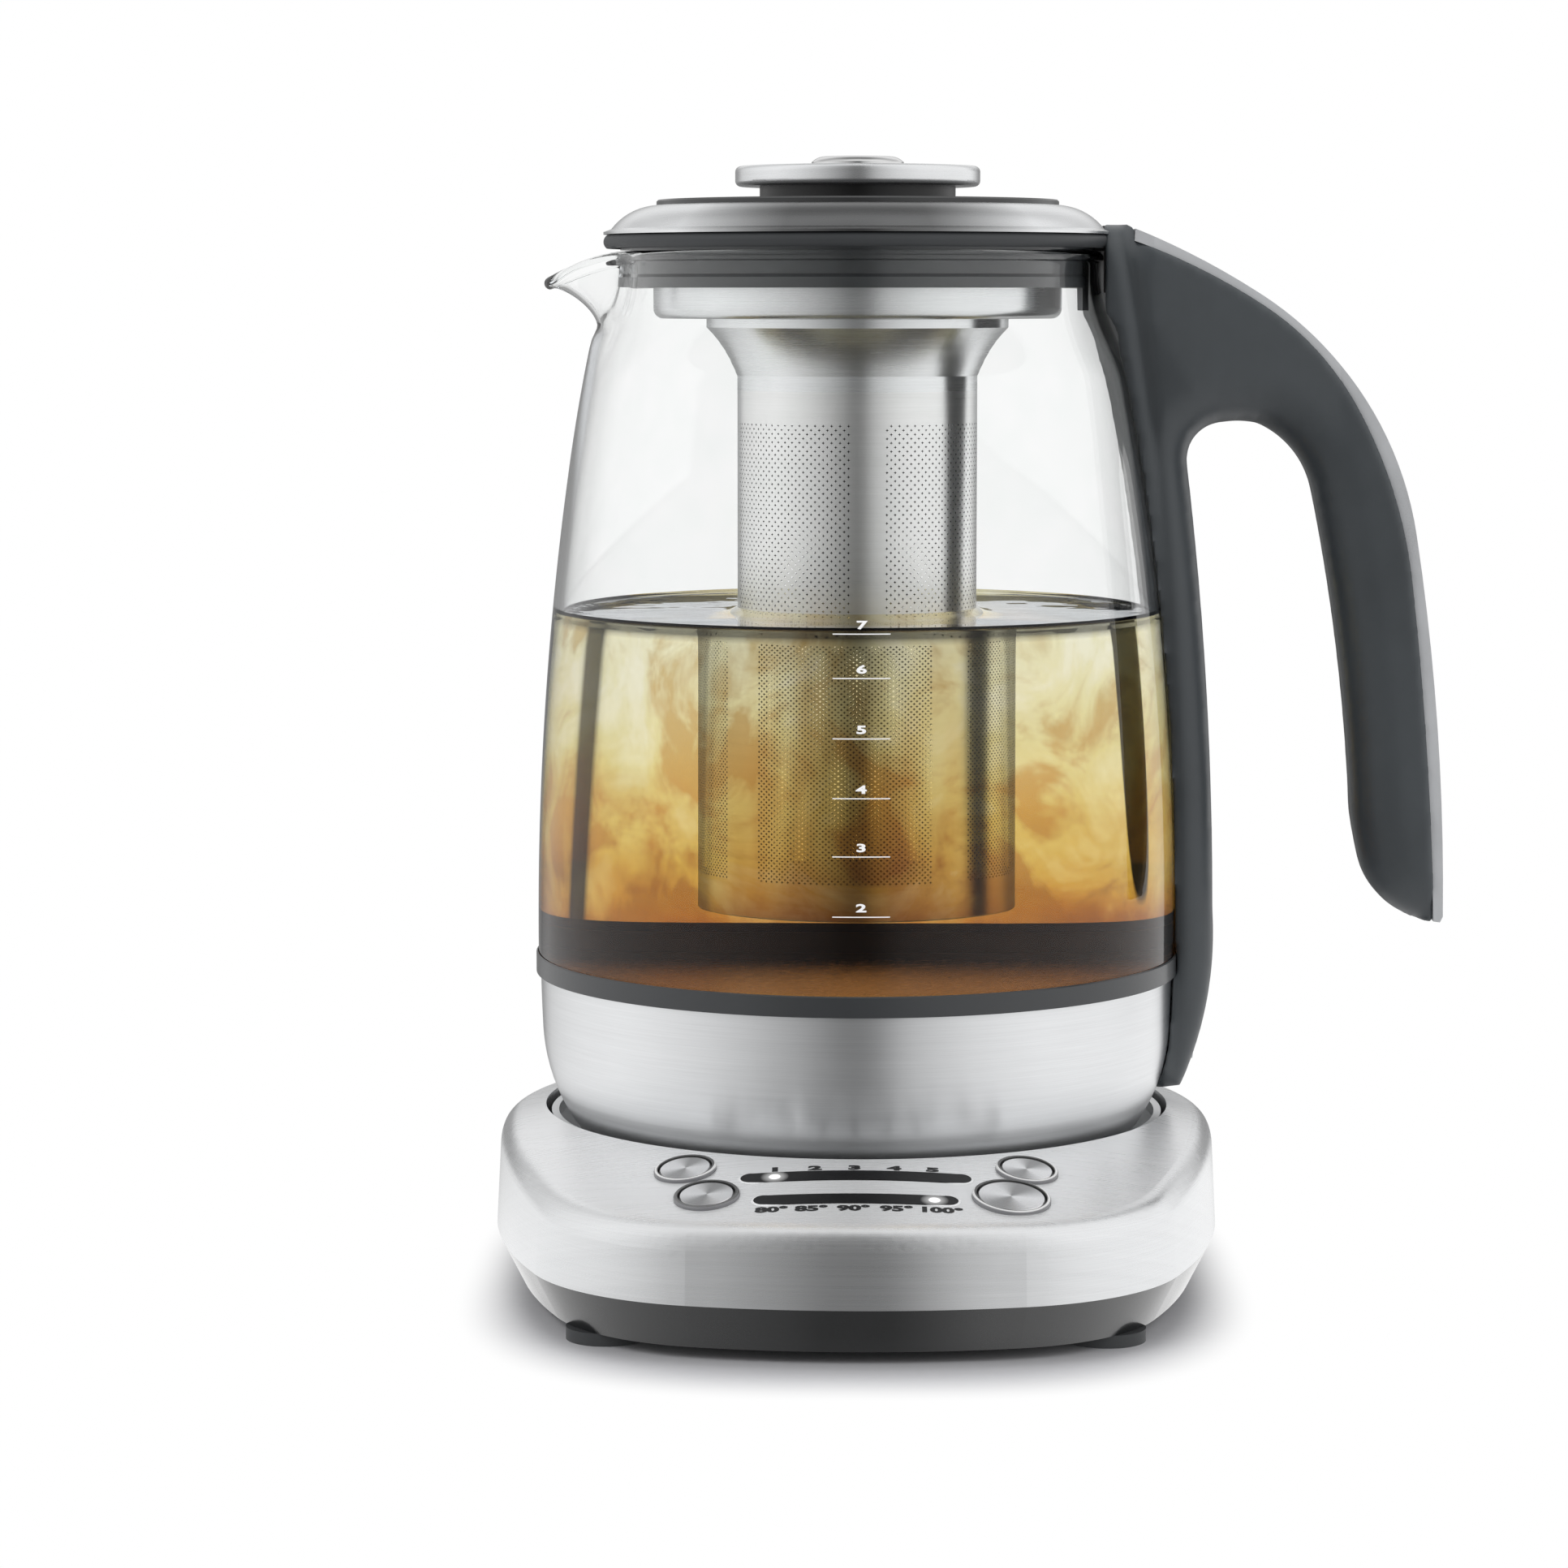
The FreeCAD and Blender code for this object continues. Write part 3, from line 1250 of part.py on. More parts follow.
def handle_limit():
    """Front outline of the spine, narrow below and wide at the arm, and free room for the grip."""
    low = "collar_top_z + 45.0"
    top = "handle_top_z + 4.0"
    spine = padded("SpineFront", "YZ_Plane", [
        ("-spine_half_width", "spine_foot_z - 4.0"),
        ("spine_half_width", "spine_foot_z - 4.0"),
        ("spine_half_width", low),
        ("spine_half_width + 2.4", low + " + 42.0", "via"),
        ("arm_half_width", "handle_top_z - 24.0"),
        ("arm_half_width", top),
        ("-arm_half_width", top),
        ("-arm_half_width", "handle_top_z - 24.0"),
        ("-spine_half_width - 2.4", low + " + 42.0", "via"),
        ("-spine_half_width", low),
    ], "45.0", "neck_radius - 6.0")
    room = block("GripRoom", "handle_reach - 80.0", "arm_half_width + arm_half_width",
                 "handle_top_z", "neck_radius + 35.0", "-arm_half_width")
    return joined("HandleLimit", [spine, room])


def make_handle():
    """Moulded handle, the trim on its back, the clip over the rim, the bracket and the screws."""
    top = [("neck_radius - 4.0", "handle_top_z"), ("handle_top_x", "handle_top_z"),
           ("handle_top_x + 1.4", "handle_top_z - 1.0")]
    foot = [("neck_radius - 4.0", "spine_foot_z")]
    side = padded("HandleSide", "XZ_Plane", top + HANDLE_BACK + HANDLE_FRONT + foot,
                  "arm_half_width + arm_half_width", both=True)
    gap = "+ seat_gap"
    jug = revolved("JugRoom", [
        ("0", "shell_foot_z"),
        ("shell_foot_radius + seat_gap", "shell_foot_z"),
        ("shell_turn_radius + seat_gap", "shell_turn_z", "via"),
        ("shell_belly_radius + seat_gap", "shell_belly_z"),
        ("shell_top_radius - 0.2 + seat_gap", "shell_top_z - 7.2", "via"),
        ("shell_top_radius + seat_gap", "shell_top_z - 0.3"),
        ("collar_radius + seat_gap", "shell_top_z - 0.3"),
        ("collar_radius + seat_gap", "collar_top_z + 0.3"),
        ("glass_foot_radius + seat_gap", "collar_top_z + 0.3"),
    ] + inwards(GLASS_SIDE[1:5], gap) + [
        ("handle_bore", "glass_shoulder_z + 5.0"),
        ("handle_bore", "handle_top_z + 10.0"),
        ("0", "handle_top_z + 10.0"),
    ])
    blank = shared("HandleBlank", shared("HandleForm", side, handle_plan("HandlePlan", "0.0")),
                   handle_limit())
    tools = [jug]
    for z in HANDLE_SCREWS:
        tools.append(screw_bore("HandleBore", z, "handle_screw_radius + 0.1"))
        sink = screw_bore("HandleSink", z, "handle_screw_head + 0.2")
        sink.Placement.Base.x = size("jug_radius") + size("handle_screw_seat")
        tools.append(sink)
    node("handle_body", without("Handle", blank, joined("HandleTools", tools)))
    back = [("handle_reach + 1.6", "handle_foot_z - 0.2"),
            ("handle_reach + 2.3", "handle_foot_z + 1.2"),
            ("handle_reach + 0.3", "handle_foot_z + 47.7", "via"),
            ("handle_reach - 5.6", "handle_top_z - 75.0"),
            ("handle_reach - 19.1", "handle_top_z - 41.2", "via"),
            ("handle_top_x + 31.1", "handle_top_z - 16.0"),
            ("handle_top_x + 16.7", "handle_top_z - 7.9", "via"),
            ("handle_top_x + 1.6", "handle_top_z - 1.1")]
    strip = padded("TrimSide", "XZ_Plane", HANDLE_BACK + back,
                   "arm_half_width + arm_half_width", both=True)
    node("handle_trim", shared("Trim", strip, handle_plan("TrimPlan", "trim_inset")))
    hook = revolved("HookRing", [
        ("neck_bore - seat_gap - clip_thickness", "rim_z - clip_drop"),
        ("neck_bore - seat_gap", "rim_z - clip_drop"),
        ("neck_bore - seat_gap", "rim_z + 0.1"),
        ("neck_radius + rim_bead + 0.1", "rim_z + 0.1"),
        ("neck_radius + rim_bead + 0.1", "neck_z + 2.0"),
        ("handle_bore", "neck_z + 2.0"),
        ("handle_bore", "rim_z + 1.0"),
        ("neck_bore - seat_gap - clip_thickness", "rim_z + 1.0"),
    ])
    width = block("HookWidth", "20.0", "clip_half_width + clip_half_width", "40.0",
                  "neck_radius - 8.0", "-clip_half_width", "rim_z - 30.0")
    node("rim_clip", shared("Hook", hook, width))
    plate = block("Bracket", "bracket_thickness", "bracket_width", "bracket_height",
                  "shell_belly_radius - shell_wall - bracket_behind", "-bracket_half",
                  "spine_foot_z + 6.0")
    bores = [screw_bore("BracketBore", z, "handle_screw_radius") for z in HANDLE_SCREWS]
    node("handle_bracket", without("BracketBored", plate, joined("BracketBores", bores)))
    screws = []
    for number, z in enumerate(HANDLE_SCREWS):
        shank = screw_bore("HandleShank", z, "handle_screw_radius")
        bind(shank, Height="handle_screw_length")
        shank.Placement.Base.x = amount("jug_radius - shell_wall - handle_screw_behind")
        head = screw_bore("HandleHead", z, "handle_screw_head")
        bind(head, Height="handle_screw_head_height")
        head.Placement.Base.x = amount("jug_radius + handle_screw_seat")
        screws.append(joined("HandleScrew%d" % number, [shank, head]))
    node("handle_screws", group("HandleScrews", screws))


# ---------------------------------------------------------------- basket

def make_basket():
    """Infuser basket: a screen tube with a floor, a flared dish and the plug that fills the neck."""
    node("basket_screen", revolved("Screen", [
        ("basket_radius - sheet_wall", "basket_bottom_z"),
        ("basket_radius", "basket_bottom_z"),
        ("basket_radius", "basket_seam_z"),
        ("basket_radius - sheet_wall", "basket_seam_z"),
    ]))
    node("basket_floor", revolved("BasketFloor", [
        ("0", "basket_bottom_z + 0.4"),
        ("basket_radius - sheet_wall", "basket_bottom_z + 0.4"),
        ("basket_radius - sheet_wall", "basket_bottom_z + 4.0"),
        ("basket_radius - sheet_wall - sheet_wall", "basket_bottom_z + 4.0"),
        ("basket_radius - sheet_wall - sheet_wall", "basket_bottom_z + 0.4 + sheet_wall"),
        ("0", "basket_bottom_z + 0.4 + sheet_wall"),
    ]))
    node("basket_dish", revolved("Dish", [
        ("basket_radius - sheet_wall", "basket_seam_z"),
        ("basket_radius", "basket_seam_z"),
        ("basket_radius", "flare_start_z"),
        ("basket_radius + 3.0", "flare_start_z + 5.6", "via"),
        ("flare_radius", "flare_z"),
        ("flare_radius", "dish_z"),
        ("dish_radius - dish_corner", "dish_z"),
        ("dish_radius - 0.73", "dish_z + 0.73", "via"),
        ("dish_radius", "dish_z + dish_corner"),
        ("dish_radius", "dish_flange_z"),
        ("dish_radius + dish_flange", "dish_flange_z"),
        ("dish_radius + dish_flange", "dish_flange_z + sheet_wall"),
        ("dish_radius - sheet_wall", "dish_flange_z + sheet_wall"),
        ("dish_radius - sheet_wall", "dish_z + dish_corner"),
        ("dish_radius - 1.15", "dish_z + 1.15", "via"),
        ("dish_radius - dish_corner", "dish_z + sheet_wall"),
        ("flare_radius - sheet_wall", "dish_z + sheet_wall"),
        ("flare_radius - sheet_wall", "flare_z + 0.2"),
        ("basket_radius + 2.5", "flare_start_z + 5.9", "via"),
        ("basket_radius - sheet_wall", "flare_start_z + 0.2"),
    ]))
    plug = revolved("PlugRing", [
        ("dish_radius + 0.1", "plug_bottom_z"),
        ("plug_radius", "plug_bottom_z"),
        ("plug_radius", "plug_bottom_z + plug_lip_height"),
        ("plug_waist_radius", "plug_bottom_z + plug_lip_height + 0.8"),
        ("plug_waist_radius", "rim_z + seat_gap"),
        ("plug_waist_radius + plug_flange", "rim_z + seat_gap"),
        ("plug_waist_radius + plug_flange", "flange_top_z"),
        ("dish_radius + dish_flange + 0.3", "flange_top_z"),
        ("dish_radius + dish_flange + 0.3", "dish_flange_z"),
        ("dish_radius + 0.1", "dish_flange_z"),
    ])
    notch = block("PlugNotch", "14.0", "clip_half_width + clip_half_width + 2.0", "20.0",
                  "neck_bore - 3.4", "-clip_half_width - 1.0", "plug_bottom_z - 2.0")
    node("basket_plug", without("Plug", plug, notch))


# ---------------------------------------------------------------- lid

def make_lid():
    """Lid: steel dome, dark cover plate, knob on its stem, liner, seal and the screw through all."""
    bore = "lid_screw_radius + 0.05"
    node("lid_dome", revolved("LidDome", [
        (bore, "lid_top_z"),
        (bore, "lid_top_z - lid_wall"),
        ("lid_top_radius - 0.3", "lid_top_z - lid_wall"),
        ("lid_shoulder_radius - 0.5", "lid_shoulder_z - lid_wall + 0.1", "via"),
        ("brim_radius - 2.4", "brim_z + 0.5"),
        ("brim_radius - 2.4", "brim_z"),
        ("brim_radius", "brim_z"),
        ("brim_radius", "brim_z + 0.6"),
        ("brim_radius - 1.9", "brim_z + 1.3"),
        ("lid_shoulder_radius", "lid_shoulder_z", "via"),
        ("lid_top_radius", "lid_top_z"),
    ]))
    node("lid_cover", revolved("LidCover", [
        (bore, "lid_top_z"),
        ("lid_top_radius", "lid_top_z"),
        ("lid_top_radius", "plate_z - 0.4"),
        ("lid_top_radius - 0.4", "plate_z"),
        (bore, "plate_z"),
    ]))
    node("knob_stem", revolved("KnobStem", [
        (bore, "plate_z"),
        ("knob_stem_radius", "plate_z"),
        ("knob_stem_radius", "knob_z"),
        (bore, "knob_z"),
    ]))
    node("knob_disc", revolved("KnobDisc", [
        (bore, "knob_z"),
        ("knob_radius - knob_edge", "knob_z"),
        ("knob_radius - 0.4", "knob_z + 0.4", "via"),
        ("knob_radius", "knob_z + knob_edge"),
        ("knob_radius", "knob_top_z - knob_edge"),
        ("knob_radius - 0.4", "knob_top_z - 0.4", "via"),
        ("knob_radius - knob_edge", "knob_top_z"),
        ("0", "knob_top_z"),
        ("0", "knob_top_z - 1.5"),
        (bore, "knob_top_z - 1.5"),
    ]))
    node("knob_cap", revolved("KnobCap", [
        ("0", "knob_top_z"),
        ("cap_radius", "knob_top_z"),
        ("cap_radius", "cap_top_z - 1.4"),
        ("cap_radius - 1.2", "cap_top_z - 0.5", "via"),
        ("cap_flat_radius", "cap_top_z"),
        ("0", "cap_top_z"),
    ]))
    node("lid_liner", revolved("LidLiner", [
        (bore, "seal_bottom_z + 0.6"),
        ("liner_radius", "seal_bottom_z + 0.6"),
        ("liner_radius", "seal_top_z + 0.1"),
        ("brim_radius - 2.7", "seal_top_z + 0.1"),
        ("brim_radius - 3.2", "brim_z + 1.0"),
        ("lid_shoulder_radius - 1.2", "lid_shoulder_z - lid_wall - 0.6", "via"),
        ("lid_top_radius - 1.2", "lid_top_z - lid_wall - 0.2"),
        (bore, "lid_top_z - lid_wall - 0.2"),
    ]))
    seal = revolved("SealRing", [
        ("liner_radius + 0.1", "seal_bottom_z"),
        ("neck_radius + rim_bead - 0.2", "seal_bottom_z"),
        ("neck_radius + rim_bead + 0.2", "seal_top_z - seal_height"),
        ("brim_radius - 0.8", "seal_top_z - seal_height"),
        ("brim_radius", "seal_top_z - 1.6", "via"),
        ("brim_radius - 0.8", "seal_top_z"),
        ("liner_radius + 0.1", "seal_top_z"),
    ])
    notch = block("SealNotch", "10.0", "clip_half_width + clip_half_width + 4.0", "10.0",
                  "neck_radius - 0.9", "-clip_half_width - 2.0", "rim_z")
    node("lid_seal", without("Seal", seal, notch))
    head = cylinder("LidScrewHead", "lid_screw_head", "1.6", "0", "0", "seal_bottom_z - 1.0")
    shank = cylinder("LidScrewShank", "lid_screw_radius",
                     "knob_top_z - 1.7 - seal_bottom_z - 0.3", "0", "0", "seal_bottom_z + 0.3")
    node("lid_screw", joined("LidScrew", [head, shank]))


# ---------------------------------------------------------------- build

def check_objects():
    """Stop if any object of the document failed or a sub-part has no valid shape."""
    for thing in doc.Objects:
        if "Invalid" in thing.State or "Error" in thing.State:
            raise RuntimeError("failed object: " + thing.Name)
    for label, thing in NODES.items():
        if thing.Shape.isNull() or not thing.Shape.isValid() or not thing.Shape.Solids:
            raise RuntimeError("bad shape: " + label)


def write_parts():
    """Write every sub-part to parts/NODE.step."""
    os.makedirs("parts", exist_ok=True)
    for label, thing in NODES.items():
        thing.Shape.exportStep("parts/%s.step" % label)


make_shroud()
make_tray()
make_feet_and_screws()
make_cradle()
make_power()
make_control_board()
make_jug_base()
make_glass()
make_handle()
make_basket()
make_lid()
doc.recompute()
check_objects()
write_parts()
print("%d sub-parts" % len(NODES))
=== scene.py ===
import logging
import math
from dataclasses import dataclass
from enum import Enum
from typing import Any, Callable, Sequence

import bmesh
import bpy
from mathutils import Matrix, Vector
from mathutils.bvhtree import BVHTree
from mathutils.kdtree import KDTree


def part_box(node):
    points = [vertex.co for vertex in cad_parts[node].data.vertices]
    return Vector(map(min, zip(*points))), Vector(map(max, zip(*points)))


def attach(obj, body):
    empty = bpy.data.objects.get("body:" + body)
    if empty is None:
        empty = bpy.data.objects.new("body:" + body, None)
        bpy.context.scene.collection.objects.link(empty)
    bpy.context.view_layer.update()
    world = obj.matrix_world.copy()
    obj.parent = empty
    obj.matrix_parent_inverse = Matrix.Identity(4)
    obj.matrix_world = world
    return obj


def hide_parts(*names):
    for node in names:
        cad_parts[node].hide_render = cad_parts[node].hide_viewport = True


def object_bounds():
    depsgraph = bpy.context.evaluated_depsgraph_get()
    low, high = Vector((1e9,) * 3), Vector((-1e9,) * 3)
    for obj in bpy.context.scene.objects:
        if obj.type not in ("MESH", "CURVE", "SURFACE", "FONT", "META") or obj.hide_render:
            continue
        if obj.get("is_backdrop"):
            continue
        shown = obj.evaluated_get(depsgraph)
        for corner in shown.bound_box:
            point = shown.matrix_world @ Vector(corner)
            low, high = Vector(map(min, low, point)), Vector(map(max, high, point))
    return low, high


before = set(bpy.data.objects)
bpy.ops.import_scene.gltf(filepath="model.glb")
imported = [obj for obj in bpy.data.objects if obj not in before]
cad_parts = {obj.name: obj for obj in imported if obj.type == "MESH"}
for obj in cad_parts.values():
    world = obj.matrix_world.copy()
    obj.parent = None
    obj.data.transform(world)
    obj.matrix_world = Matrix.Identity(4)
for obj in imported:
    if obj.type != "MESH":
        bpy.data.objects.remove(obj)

LOG = logging.getLogger("tea_maker")
MM = 0.001

Colour = tuple[float, float, float]
Point = tuple[float, float]
Stops = Sequence[tuple[float, Sequence[float]]]

WHITE: Colour = (1.0, 1.0, 1.0)
BRASS: Colour = (0.72, 0.50, 0.20)
FIGURE_SHARE = 0.7  # height of a figure over its font size


# ---------------------------------------------------------------- shader graphs

def arithmetic(operation: str, turned: bool = False) -> Callable[..., "Signal"]:
    """A method that works out one of Blender's Math operations.

    Args:
        operation: Blender's name of the operation.
        turned: Whether the other value comes first.

    Returns:
        The method.
    """
    def work(self: "Signal", *others: Any) -> "Signal":
        """The result, as a new signal."""
        values = (self, *others)
        return self.graph.math(operation, *(reversed(values) if turned else values))
    return work


class Signal:
    """An output of a shader graph that takes plain arithmetic."""

    def __init__(self, graph: "Graph", socket: Any) -> None:
        """Hold a socket and the graph that it is in."""
        self.graph, self.socket = graph, socket

    __add__ = arithmetic("ADD")
    __sub__ = arithmetic("SUBTRACT")
    __rsub__ = arithmetic("SUBTRACT", turned=True)
    __mul__ = arithmetic("MULTIPLY")
    __truediv__ = arithmetic("DIVIDE")
    __rtruediv__ = arithmetic("DIVIDE", turned=True)
    __pow__ = arithmetic("POWER")
    __abs__ = arithmetic("ABSOLUTE")

    def spread(self, low: float, high: float, to_low: float = 0.0,
               to_high: float = 1.0) -> "Signal":
        """This value carried from one range to another and clamped there."""
        return self.graph.add("MapRange", (self, low, high, to_low, to_high))

    def ramp(self, stops: Stops) -> "Signal":
        """The colour of this value.

        Args:
            stops: Position and colour of each stop, in order.

        Returns:
            The colour.
        """
        colour = self.graph.add("ValToRGB", (self,))
        elements = colour.socket.node.color_ramp.elements
        while len(elements) < len(stops):
            elements.new(0.5)
        for element, (position, shade) in zip(elements, stops):
            element.position = position
            element.color = (*shade, 1.0)
        return colour


class Graph:
    """The nodes of one material or world, added and joined by short calls."""

    def __init__(self, owner: Any) -> None:
        """Start a graph that holds only the output of a material or world.

        Args:
            owner: The material or world that the nodes belong to.
        """
        owner.use_nodes = True
        self.nodes = owner.node_tree.nodes
        self.links = owner.node_tree.links
        self.nodes.clear()
        kind = "World" if isinstance(owner, bpy.types.World) else "Material"
        self.target = self.nodes.new("ShaderNodeOutput" + kind)
        self.place: Signal | None = None

    def feed(self, target: Any, source: Any) -> None:
        """Join a signal to an input, or write a constant on it.

        Args:
            target: The input.
            source: A signal, or the constant's value.
        """
        if isinstance(source, Signal):
            self.links.new(source.socket, target)
        else:
            target.default_value = source

    def add(self, kind: str, inputs: Any = (), output: Any = 0, **settings: Any) -> Signal:
        """Add a node and feed its inputs.

        Args:
            kind: Node type without the ShaderNode prefix.
            inputs: Signals or constants, in order or by name or number of the input.
            output: Name or number of the output that is wanted.
            **settings: Properties to set on the node.

        Returns:
            The output.
        """
        made = self.nodes.new("ShaderNode" + kind)
        for name, value in settings.items():
            setattr(made, name, value)
        for key, value in inputs.items() if isinstance(inputs, dict) else enumerate(inputs):
            self.feed(made.inputs[key], value)
        return Signal(self, made.outputs[output])

    def math(self, operation: str, *values: Any) -> Signal:
        """The result of one of Blender's Math operations."""
        return self.add("Math", values, operation=operation)

    def at(self) -> Signal:
        """The point in object coordinates."""
        self.place = self.place or self.add("TexCoord", output="Object")
        return self.place

    def geometry(self, output: str) -> Signal:
        """One of the Geometry node's outputs."""
        return self.add("NewGeometry", output=output)

    def ray(self, output: str) -> Signal:
        """One of the Light Path node's outputs."""
        return self.add("LightPath", output=output)

    def axes(self, vector: Signal) -> list[Signal]:
        """The x, y and z of a vector."""
        made = self.add("SeparateXYZ", (vector,)).socket.node
        return [Signal(self, socket) for socket in made.outputs]

    def join(self, x: Any, y: Any, z: Any) -> Signal:
        """A vector from three numbers or signals."""
        return self.add("CombineXYZ", (x, y, z))

    def unit(self, vector: Signal) -> Signal:
        """A vector of the same direction and a length of 1."""
        return self.add("VectorMath", (vector,), operation="NORMALIZE")

    def moved(self, centre: Sequence[float]) -> Signal:
        """Object coordinates measured from a point of the piece."""
        return self.add("Mapping", {"Vector": self.at(), "Location": [-c for c in centre]})

    def from_axis(self, vector: Signal) -> Signal:
        """Distance of a point from the upright axis."""
        x, y, _ = self.axes(vector)
        return self.math("SQRT", x * x + y * y)

    def noise(self, vector: Signal, scale: float = 1.0, detail: float = 3.0,
              roughness: float = 0.55, distortion: float = 0.0) -> Signal:
        """A noise pattern.

        Args:
            vector: Where the noise is read.
            scale: Cells per metre of the vector.
            detail: Octaves.
            roughness: Strength of the finer octaves.
            distortion: How far the pattern is pulled about.

        Returns:
            The value, from 0 to 1.
        """
        return self.add("TexNoise", {"Vector": vector, "Scale": scale, "Detail": detail,
                                     "Roughness": roughness, "Distortion": distortion}, "Fac")

    def mix(self, factor: Signal, first: Any, second: Any) -> Signal:
        """A blend of two colours by a factor."""
        colours = [c if isinstance(c, Signal) else (*c, 1.0) for c in (first, second)]
        return self.add("Mix", {0: factor, 6: colours[0], 7: colours[1]}, 2, data_type="RGBA")

    def bump(self, height: Signal, distance: float) -> Signal:
        """A normal from a height pattern whose full range is a real depth."""
        return self.add("Bump", {"Distance": distance, "Height": height}, "Normal")

    def out(self, slot: str, shader: Signal) -> None:
        """Join a shader to the material's or world's output."""
        self.feed(self.target.inputs[slot], shader)

    def surface(self, **values: Any) -> None:
        """Join a Principled surface to the output.

        Args:
            **values: Inputs by name, with underscores for spaces.
        """
        named = {name.replace("_", " "): value for name, value in values.items()}
        self.out("Surface", self.add("BsdfPrincipled", named))


# ---------------------------------------------------------------- finishes

def shaded(colour: Colour, factor: float) -> Colour:
    """A colour made lighter or darker, up to full white."""
    red, green, blue = (min(1.0, c * factor) for c in colour)
    return red, green, blue


class Grain(Enum):
    """The way a sheet was brushed."""

    AROUND = "round the upright axis"
    ALONG = "level on the walls and straight across the deck"


@dataclass(frozen=True)
class Finish:
    """A named finish, which its material shows as a shader graph."""

    name: str

    def lay(self, graph: Graph) -> None:
        """Lay the finish on an empty graph."""
        raise NotImplementedError

    def material(self) -> bpy.types.Material:
        """Make the material.

        Returns:
            The material, with its nodes laid.
        """
        made = bpy.data.materials.new(self.name)
        self.lay(Graph(made))
        return made


@dataclass(frozen=True)
class BrushedSteel(Finish):
    """Sheet steel brushed along one direction, with fine level streaks."""

    colour: Colour = (0.84, 0.85, 0.86)
    roughness: float = 0.27
    grain: Grain = Grain.AROUND
    stretch: float = 42.0
    fineness: float = 5200.0
    groove: float = 0.000004
    anisotropy: float = 0.70
    # Colour of the back faces: painted shade, so the inside of the sheet reads dark.
    painted_inner_shade: Colour | None = None
    # Strength of a painted dark reflection laid into the colour towards the front and back.
    painted_fan: float = 0.0
    satin: float = 0.0

    def streaks(self, graph: Graph, upright: Signal, stretch: float,
                coarser: float = 1.0) -> Signal:
        """Noise that is long along the sheet and fine across the brushing.

        Args:
            graph: The graph to add to.
            upright: What rises across the brushing.
            stretch: Cells per metre along the sheet.
            coarser: Factor on the cells across it.

        Returns:
            The value, from 0 to 1.
        """
        x, y, _ = graph.axes(graph.at())
        return graph.noise(graph.join(x * stretch, y * stretch,
                                      upright * (self.fineness * coarser)), 1.0, 4.0, 0.62)

    def lay(self, graph: Graph) -> None:
        """Lay the streaks, the worn patches and the grooves, with painted shade on back faces and
        a painted dark reflection where asked.

        Args:
            graph: The empty graph to lay it on.
        """
        x, y, z = graph.axes(graph.at())
        out = graph.from_axis(graph.at())
        metallic: Any = 1.0
        if self.grain is Grain.AROUND:
            fine = self.streaks(graph, z + out, self.stretch)
            broad = self.streaks(graph, z + out, self.stretch * 0.4, 0.16)
        else:
            level = abs(graph.axes(graph.geometry("Normal"))[2]).spread(0.80, 0.93)
            fine = (self.streaks(graph, y, 24.0) * level
                    + self.streaks(graph, z, 24.0) * (1.0 - level))
            broad = self.streaks(graph, z + y * 0.3, 10.0, 0.12)
            metallic = level.spread(0.0, 1.0, 1.0, 1.0 - self.satin)
        worn = graph.noise(graph.at(), 60.0, 3.0, 0.5)
        tone = fine * 0.6 + broad * 0.4
        shade = tone.ramp([(0.30, shaded(self.colour, 0.92)), (0.70, shaded(self.colour, 1.05))])
        # Painted shade: back faces take the dark inner colour.
        if self.painted_inner_shade is not None:
            shade = graph.mix(graph.geometry("Backfacing"), shade, self.painted_inner_shade)
        # Painted reflection: the colour darkens towards the front and back, like a reflected dark
        # band.
        if self.painted_fan:
            shade = graph.mix(abs(y / out).spread(0.72, 0.96, 0.0, self.painted_fan), shade,
                              (0.02, 0.02, 0.02))
        graph.surface(
            Base_Color=shade,
            Metallic=metallic,
            Roughness=(tone * 0.7 + worn * 0.3).spread(0.3, 0.7, self.roughness - 0.03,
                                                       self.roughness + 0.05),
            Anisotropic=self.anisotropy,
            Tangent=graph.unit(graph.join(x, y, out * -1.0)),
            Normal=graph.bump(fine, self.groove))


@dataclass(frozen=True)
class SpunSteel(Finish):
    """A small steel disc faced on a lathe, with a fan of glints round its centre: real sheen from
    the turned grain, and a painted highlight and shade in its colour.
    """

    centre: Sequence[float]
    colour: Colour = (0.86, 0.86, 0.87)
    roughness: float = 0.24
    painted_fan_turn: float = 0.5
    ring_scale: float = 9000.0

    def lay(self, graph: Graph) -> None:
        """Lay the painted fan of highlight and shade, and the turned rings.

        Args:
            graph: The empty graph to lay it on.
        """
        spot = graph.moved(self.centre)
        x, y, _ = graph.axes(spot)
        rings = graph.noise(graph.join(graph.from_axis(spot) * self.ring_scale, 0.0, 0.0),
                            1.0, 2.0, 0.5)
        turn = (graph.math("ARCTAN2", y, x) + self.painted_fan_turn) * 2.0
        painted_fan = graph.math("COSINE", turn) * 0.5 + 0.5
        # Painted highlight and shade: the colour is light and dark in a fan round the centre.
        light = painted_fan.ramp([(place, shaded(self.colour, factor)) for place, factor in
                          ((0.05, 0.42), (0.45, 0.80), (0.85, 1.12))])
        graph.surface(
            Base_Color=graph.mix(rings.spread(0.3, 0.7, 0.0, 0.25), light,
                                 shaded(self.colour, 0.7)),
            Metallic=1.0,
            Roughness=rings.spread(0.3, 0.7, self.roughness - 0.04, self.roughness + 0.06),
            Anisotropic=0.85,
            Tangent=graph.unit(graph.join(x, y, 0.0)),
            Normal=graph.bump(rings, 0.000006))


